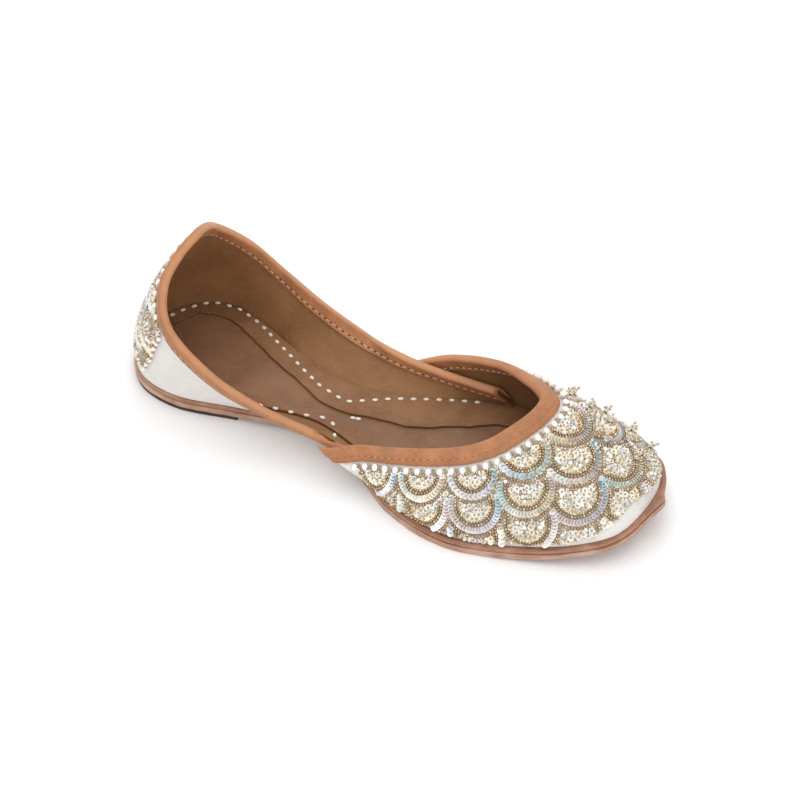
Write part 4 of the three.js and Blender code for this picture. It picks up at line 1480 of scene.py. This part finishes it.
    def sew_scale(self, scale: Scale, others: Sequence[Scale]) -> None:
        """Sews one scale: strings of gold beads, a band between them, a fringe and its filling."""
        seed, radius = self.seed, scale.radius
        for edge in (radius - 0.6 * seed, *(radius - inset for inset in self.borders)):
            u, h, turn = self.ring(scale, others, edge, seed * 0.95, self.sweep)
            if len(u):
                along, _ = self.turned(u, h, turn)
                mix = self.random.random((len(u), 1)) < 0.25
                tint = np.where(mix, self.pale_gold, self.gold)
                self.lay(self.boxes.borders, u, h, self.lift, (seed * 0.92, seed, seed), tint, along)
        self.sew_band(scale, others, radius - self.band)
        room = radius - self.fringe
        if room > 2.6 * MM:
            u, h, turn = self.ring(scale, others, room - 0.6 * MM, 1.0 * MM, math.radians(75))
            if len(u):
                along, _ = self.turned(u, h, turn)
                tint = self.straw if scale.kind % 2 else self.cream
                self.lay(self.boxes.cream_sequins, u, h, self.lift, (2.2 * MM,) * 3, tint, along, along * 0.7)
        self.fill_scale(scale, others, radius - self.filling)

    def sew_band(self, scale: Scale, others: Sequence[Scale], radius: float) -> None:
        """Sews the band of a scale: overlapping sequins, or ribs of dark wire on the ridge."""
        sweep = self.sweep - 0.04
        wired = abs(scale.u - self.ridge) < self.ridge_span and scale.row in (1, 2)
        coarse = scale.kind in (1, 4)
        pitch = (0.75 if wired else 1.8 if coarse else 1.25) * MM
        u, h, turn = self.ring(scale, others, radius, pitch, sweep)
        if not len(u):
            return
        along, away = self.turned(u, h, turn)
        if wired:
            self.lay(self.boxes.stalks, u, h, 0.9 * MM, (3.3 * MM, 0.7 * MM, 0.9 * MM), self.steel, away)
            return
        foil = np.array(self.foil)
        span = 3.0 + scale.kind * 0.5
        shade = np.mod((turn / sweep + 1) / 2 * span + scale.kind * 1.7, len(foil) - 1)
        tint = np.stack([np.interp(shade, np.arange(len(foil)), foil[:, c]) for c in range(3)], -1)
        lean = 0.62 + 0.12 * self.random.random((len(u), 1))
        tilt = along * lean + away * 0.1
        self.lay(self.boxes.sequins, u, h, 1.0 * MM, (self.sequin,) * 3, tint, along, tilt)

    def fill_scale(self, scale: Scale, others: Sequence[Scale], room: float) -> None:
        """Fills a scale's middle with a jumble of pale sequins held by gold beads, crystals and pearls."""
        pitch, reach = self.fill_pitch, scale.radius
        steps = np.arange(-math.ceil(reach / pitch), math.ceil(reach / pitch) + 1)
        column, line = (x.ravel() for x in np.meshgrid(steps, steps))
        beside = (column + 0.5 * (line % 2)) * pitch + self.random.normal(0, 0.22 * MM, len(column))
        below = line * pitch * 0.87 + self.random.normal(0, 0.22 * MM, len(column))
        far = np.hypot(beside, below)
        top = np.abs(np.arctan2(beside, below)) > self.sweep
        chosen = (far < room - 0.5 * MM) | (top & (far < reach - 1 * MM))
        u, h, good = self.keep(scale, others, beside[chosen], below[chosen], 0.5 * MM)
        u, h = u[good], h[good]
        if not len(u):
            return
        round_, down, _ = self.chart.axes(u, h)
        drift = self.random.normal(0, 0.3, (2, len(u), 1))
        tilt = round_ * drift[0] + down * drift[1]
        pick = self.random.random(len(u))
        size = (0.85 + 0.3 * self.random.random((len(u), 1))) * np.ones((1, 3))
        pale = np.where(self.random.random((len(u), 1)) < 0.5, self.cream, (0.86, 0.87, 0.88))
        for box, low, high, across, lift in (
            (self.boxes.cream_sequins, 0.0, 0.66, 2.5 * MM, 1.0 * MM),
            (self.boxes.crystals, 0.66, 0.86, 2.0 * MM, 1.35 * MM),
            (self.boxes.pearls, 0.86, 1.0, 1.7 * MM, 1.2 * MM),
        ):
            k = (pick >= low) & (pick < high)
            self.lay(box, u[k], h[k], lift, size[k] * across, pale[k], None, tilt[k])
        k = pick < 0.66
        self.lay(self.boxes.fillers, u[k], h[k], 1.5 * MM, (0.95 * MM,) * 3, self.gold)

    def pearl_row(self) -> None:
        """Pearls below the binding, taller on the far side, with stacked gold beads between them."""
        chart, line = self.chart, self.pearl_line
        u, half = (chart.spaced(line, self.pearl_pitch, start) for start in (0.0, 0.5))
        u, half = (x[(x > self.ends[0]) & (x < self.ends[1])] for x in (u, half))
        h = chart.height(u, line)
        for far, lift, tall in ((False, 1.1, 2.2), (True, 1.8, 3.8)):
            k = (u > self.ridge) == far
            self.lay(self.boxes.pearls, u[k], h[k], lift * MM, (2.5 * MM, 3.0 * MM, tall * MM), self.pearl)
        for step in (-1.05, 0.0, 1.05):
            h = chart.height(half, line + step * MM)
            self.lay(self.boxes.fillers, half, h, self.lift, (1.5 * MM, 0.95 * MM, 1.0 * MM), self.gold)

    def flower(self, u: float, down: float) -> None:
        """A few wire stalks that stand up from one point, each with a small head."""
        chart, boxes = self.chart, self.boxes
        at = np.full(4, u)
        h = chart.height(at, down * MM)
        round_, below, out = chart.axes(at, h)
        turn = self.random.uniform(0, 2 * math.pi) + np.arange(4) * 1.6
        lean = round_ * np.cos(turn)[:, None] + below * np.sin(turn)[:, None]
        up = unit(out + lean * np.array([0.15, 0.45, 0.5, 0.55])[:, None])
        length = np.array([4.6, 3.8, 3.4, 3.6])[:, None] * MM
        foot = chart.surface(at, h) + out * 0.4 * MM
        size = np.concatenate([length, np.full((4, 2), 0.55 * MM)], 1)
        boxes.stalks.add(foot + up * length / 2, up, round_, size, self.stalk)
        boxes.fillers.add(foot + up * length, up, round_, (1.5 * MM, 1.25 * MM, 1.25 * MM), (0.62, 0.52, 0.36))
        middle = foot[:1] + out[:1] * 2.2 * MM
        boxes.crystals.add(middle, round_[:1], out[:1], (2.2 * MM,) * 3, (0.9, 0.92, 0.94))

    def fill_gaps(self) -> None:
        """Fills what is bare between the scales with small beads."""
        chart, pitch = self.chart, self.gap_pitch
        shares, heights = [], []
        for row, down in enumerate(np.arange(self.pearl_line + 1.6 * MM, chart.deepest - pitch, pitch)):
            u = chart.spaced(down, pitch, 0.5 * (row % 2))
            u = u[down < np.interp(u, chart.u, chart.length)]
            shares.append(u)
            heights.append(chart.height(u, down))
        u, h = np.concatenate(shares), np.concatenate(heights)
        inner = self.inside(u, h)
        u, h = u[inner], h[inner]
        free = self.boxes.gaps(chart.surface(u, h) + chart.axes(u, h)[2] * 0.9 * MM, 0.98 * MM)
        u, h = u[free], h[free]
        mix = self.random.random((len(u), 1))
        tint = np.where(mix < 0.3, self.gold, np.where(mix < 0.6, self.pale_gold, (0.88, 0.86, 0.82)))
        self.lay(self.boxes.fillers, u, h, 0.75 * MM, (1.08 * MM,) * 3, tint)

    def lay_ground(self, name: str, node: str) -> None:
        """Lays the thin sheet of thread that the beads are sewn through, in a CAD node's place; its darker tone
        also paints the shade in the gaps between beads.
        """
        up = np.linspace(0, 1, 40)
        low, high = 0.08 * MM, 0.45 * MM
        profile = np.array([(h, low) for h in up] + [(h, high) for h in up[::-1]] + [(0.0, low)])

        def place(s: Array, t: Array) -> Array:
            share, lift = wrapped(profile, t)
            u = between(self.ends, s)
            top = self.chart.height(u, self.pearl_line + 1.0 * MM)
            return self.last.upper(u, between((np.minimum(self.foot(u), top - 0.02), top), share), -lift)

        bm = sheet(240, len(profile) - 1, place)
        finish_piece(name, bm, self.finishes.ground, [node])

    def sew_field(self) -> None:
        """Sews every scale, each under those above it."""
        scales = self.scales()
        middles = [self.middle(scale) for scale in scales]
        for k, scale in enumerate(scales):
            near = [
                other for j, other in enumerate(scales)
                if j != k and other.row <= scale.row
                and np.linalg.norm(middles[j] - middles[k]) < other.radius + scale.radius + 4 * MM
            ]
            self.sew_scale(scale, near)

    def build(self) -> None:
        """Sews the vamp."""
        self.sew_field()
        self.pearl_row()
        self.fill_gaps()
        for u, down in self.flowers:
            self.flower(u, down)
        self.lay_ground("vamp_thread_ground_and_gap_shade", "vamp_beadwork")


@dataclass
class HeelPatch(Embroidery):
    """The same beadwork round the back of the heel, edged with pearls."""

    # Share of the rim to either side of the heel back, and the lower edge there as a share of the wall.
    patch: Sequence[Pair] = ((0.0, 0.1), (0.056, 0.12), (0.064, 0.29), (0.07, 0.48), (0.08, 0.68))
    charted: Pair = (-0.09, 0.09)
    even_pitch: float = 21 * MM
    edge_pitch: float = 1.5 * MM

    def __post_init__(self) -> None:
        """Charts the heel's back."""
        self.chart = Chart(self.last, self.charted, np.ones_like, 200)
        self.random = np.random.default_rng(11)
        self.ends = (-self.patch[-1][0], self.patch[-1][0])

    def foot(self, u: Array) -> Array:
        """Height share of the patch's lower edge."""
        rows = np.array(self.patch)
        return np.interp(np.abs(u), rows[:, 0], rows[:, 1])

    def pitch(self, u: Array) -> Array:
        """Distance between scales of a row."""
        return np.full_like(u, self.even_pitch)

    def build(self) -> None:
        """Sews the patch."""
        self.sew_field()
        self.pearl_row()
        self.edge_row()
        self.fill_gaps()
        self.lay_ground("heel_thread_ground_and_gap_shade", "heel_beadwork")

    def edge_row(self) -> None:
        """Gold beads along the patch's sides, with a pearl after every third."""
        rows = np.array(self.patch)
        place = np.linspace(1, len(rows) - 1, 300)
        for side in (-1, 1):
            u, h = (np.interp(place, np.arange(len(rows)), rows[:, k]) for k in (0, 1))
            run = along_line(self.chart.surface(side * u, h))
            spots = np.arange(0, run[-1], self.edge_pitch)
            u, h = side * np.interp(spots, run, u), np.interp(spots, run, h)
            pearls = np.arange(len(u)) % 3 == 0
            self.lay(self.boxes.pearls, u[pearls], h[pearls], 1.0 * MM, (2.0 * MM,) * 3, self.pearl)
            self.lay(self.boxes.borders, u[~pearls], h[~pearls], 0.9 * MM, (1.25 * MM,) * 3, self.gold)


@dataclass
class Stitching:
    """Rows of thread with their pinholes, painted as dark dots of shade, on the bindings, and the thick stitches
    of the footbed.
    """

    last: Last
    finishes: Finishes
    vamp_line: float = 4.3 * MM
    vamp_pitch: float = 3.1 * MM
    quarter_line: float = 4.7 * MM
    quarter_pitch: float = 3.4 * MM
    vamp_inner_line: float = 4.6 * MM
    quarter_outer_line: float = 5.0 * MM
    proud: float = 0.25 * MM
    # Footbed stitches, along the far and the near edge of the flange and at its point: x and y in millimetres.
    far_row: Sequence[Pair] = (
        (-114.8, 23), (-112, 28), (-108, 33), (-103, 38), (-97, 38.6), (-91, 39), (-86, 37.4),
        (-77, 33.8), (-66, 27), (-56, 21), (-46, 15), (-36.5, 10), (-27, 7.3), (-22, 6.6),
        (-15, 10.7), (-5, 17), (7.4, 22.5), (20, 27.5), (28, 30),
    )
    near_row: Sequence[Pair] = (
        (-54, -12), (-48, -11), (-41, -10), (-35, -9), (-28, -7), (-23, -6), (-18, -14),
    )
    single: Sequence[Pair] = ((-16.2, -0.2), (-13.9, 0.3))
    far_pitch: float = 5.4 * MM
    near_pitch: float = 6.8 * MM
    single_pitch: float = 2.2 * MM

    def run(
        self, box: Stamps, holes: Stamps, chart: Chart, line: float, pitch: float, tucked: bool, lift: float
    ) -> None:
        """One row of running stitches on a binding.

        Args:
            box: Thread.
            holes: Pinholes, as dark dots of painted shade.
            chart: Surface under the binding.
            line: Length of the row below the top line.
            pitch: Distance from stitch to stitch.
            tucked: Whether it is the quarters' binding.
            lift: Height over the wall's outer face; less than nothing on the inside.
        """
        last = self.last
        for start, kind, size in (
            (0.0, box, (pitch * 0.66, 0.4 * MM, 0.3 * MM)), (0.5, holes, (0.95 * MM, 0.75 * MM, 0.3 * MM)),
        ):
            u = chart.spaced(line, pitch, start)
            h = chart.height(u, line)
            at = last.upper(u, h, -lift, tucked)
            ahead = last.upper(u + 1e-3, chart.height(u + 1e-3, line), -lift, tucked)
            out = last.normal(u, h, tucked) * math.copysign(1.0, lift)
            kind.add(at, unit(ahead - at), out, size, WHITE)

    def thick_row(self, box: Stamps, row: Sequence[Pair], pitch: float, level: float) -> None:
        """Thick stitches through the flange and the footbed, evenly along a row of places."""
        spots = np.array(row) * MM
        run = along_line(spots)
        even = np.linspace(0, run[-1], int(run[-1] / pitch) + 1)
        spots = np.stack([np.interp(even, run, spots[:, k]) for k in (0, 1)], -1)
        step = np.gradient(spots, axis=0)
        along = np.concatenate([step, np.zeros((len(step), 1))], 1)
        at = np.concatenate([spots, np.zeros((len(spots), 1))], 1)
        at[:, 2] = self.last.underside(at[:, 0] - self.last.shift[0]) + level
        up = np.broadcast_to((0.0, 0.0, 1.0), at.shape)
        box.add(at, unit(along), up, (2.7 * MM, 1.7 * MM, 1.0 * MM), WHITE)

    def build(self) -> None:
        """Sews all rows."""
        last, looks = self.last, self.finishes
        gold = Stamps("vamp_binding_stitches", BeadShape.STITCH, looks.cream)
        rose = Stamps("quarter_binding_stitches", BeadShape.STITCH, looks.rose)
        white = Stamps("footbed_stitches", BeadShape.STITCH, looks.white)
        holes = Stamps("binding_pinhole_painted_shade", BeadShape.STITCH, looks.hole)
        vamp = Chart(last, (last.lateral_wing + 0.004, last.medial_wing - 0.004), last.vamp_top)
        rims = (last.medial_tuck - 1 + 0.004, last.lateral_tuck - 0.004)
        quarter = Chart(last, rims, last.quarter_top, 600, tucked=True)
        skin = last.gap + last.binding
        outside, inside = skin - 0.12 * MM, -(last.wall + skin - 0.08 * MM)
        self.run(gold, holes, vamp, self.vamp_line, self.vamp_pitch, False, outside)
        self.run(gold, holes, vamp, self.vamp_inner_line, self.vamp_pitch, False, inside)
        self.run(rose, holes, quarter, self.quarter_line, self.quarter_pitch, True, inside)
        self.run(rose, holes, quarter, self.quarter_outer_line, self.quarter_pitch, True, outside)
        top = last.margin_base + last.margin + self.proud
        self.thick_row(white, self.far_row, self.far_pitch, top)
        self.thick_row(white, self.near_row, self.near_pitch, top)
        self.thick_row(white, self.single, self.single_pitch, last.insole_top + self.proud)
        for box in (gold, rose, holes):
            box.join(Slot.BINDING)
        white.join(Slot.FOOTBED)


@dataclass
class Studio:
    """Pale floor, soft lights and the camera at the photograph's angle."""

    azimuth: float = 24.8
    elevation: float = 43.6
    distance: float = 1.1
    sensor: float = 36.0
    lens: float = 36 * 2635.8 / 800
    floor_size: float = 6.0
    world: float = 0.86
    target: Color = (2.98 * MM, 5.73 * MM, 20 * MM)

    def floor(self) -> None:
        """A wide pale floor."""
        bm = bmesh.new()
        bmesh.ops.create_grid(bm, x_segments=1, y_segments=1, size=self.floor_size)
        mesh = bpy.data.meshes.new("floor")
        bm.to_mesh(mesh)
        bm.free()
        dye = Dye("pale_floor")
        color = dye.blend(dye.band(dye.noise(0.4), 0.3, 0.7), (0.9, 0.9, 0.9), (0.92, 0.92, 0.92))
        dye.feed(dye.shader.inputs["Base Color"], color)
        dye.shader.inputs["Roughness"].default_value = 0.8
        dye.shader.inputs["Specular IOR Level"].default_value = 0.1
        mesh.materials.append(dye.material)
        floor = bpy.data.objects.new("floor", mesh)
        bpy.context.scene.collection.objects.link(floor)
        floor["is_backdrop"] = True

    def lamp(self, name: str, spot: Color, size: float, power: float) -> None:
        """A square soft light that faces the shoe."""
        light = bpy.data.lights.new(name, "AREA")
        light.shape, light.size, light.energy = "SQUARE", size, power
        lamp = bpy.data.objects.new(name, light)
        lamp.location = spot
        lamp.rotation_euler = (Vector((0, 0, 0.02)) - Vector(spot)).to_track_quat("-Z", "Y").to_euler()
        bpy.context.scene.collection.objects.link(lamp)

    def build(self) -> None:
        """Sets floor, lights, world and camera."""
        self.floor()
        scene = bpy.context.scene
        world = bpy.data.worlds.new("studio")
        world.use_nodes = True
        sky = world.node_tree.nodes["Background"].inputs
        sky["Color"].default_value = (*WHITE, 1.0)
        sky["Strength"].default_value = self.world
        scene.world = world
        self.lamp("overhead_soft_light", (-0.1, 0.05, 1.6), 2.2, 12.0)
        self.lamp("front_soft_light", (0.9, -1.1, 0.9), 0.8, 5.0)
        self.lamp("back_soft_light", (-0.5, 1.2, 0.9), 0.8, 4.0)
        scene.view_settings.view_transform = "Standard"
        data = bpy.data.cameras.new("camera")
        data.lens, data.sensor_width = self.lens, self.sensor
        camera = bpy.data.objects.new("camera", data)
        a, e = math.radians(self.azimuth), math.radians(self.elevation)
        back = Vector((math.sin(a) * math.cos(e), -math.cos(a) * math.cos(e), math.sin(e)))
        camera.location = Vector(self.target) + back * self.distance
        camera.rotation_euler = back.to_track_quat("Z", "Y").to_euler()
        scene.collection.objects.link(camera)
        scene.camera = camera


def main() -> None:
    """Builds the shoe and its studio, and notes both boxes."""
    logging.basicConfig(level=logging.INFO, format="%(name)s: %(message)s")
    last = Last()
    finishes = Finishes()
    SoleUnit(last, finishes).build()
    UpperWalls(last, finishes).build()
    Bindings(last, finishes).build()
    Stitching(last, finishes).build()
    boxes = BeadBoxes(finishes)
    Embroidery(last, finishes, boxes).build()
    HeelPatch(last, finishes, boxes).build()
    boxes.join()
    Studio().build()
    boxes = {"cad": [list(corner) for corner in CAD_BOX], "visual": [list(corner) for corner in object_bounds()]}
    log.info("boxes: %s", boxes)


if __name__ == "__main__":
    main()
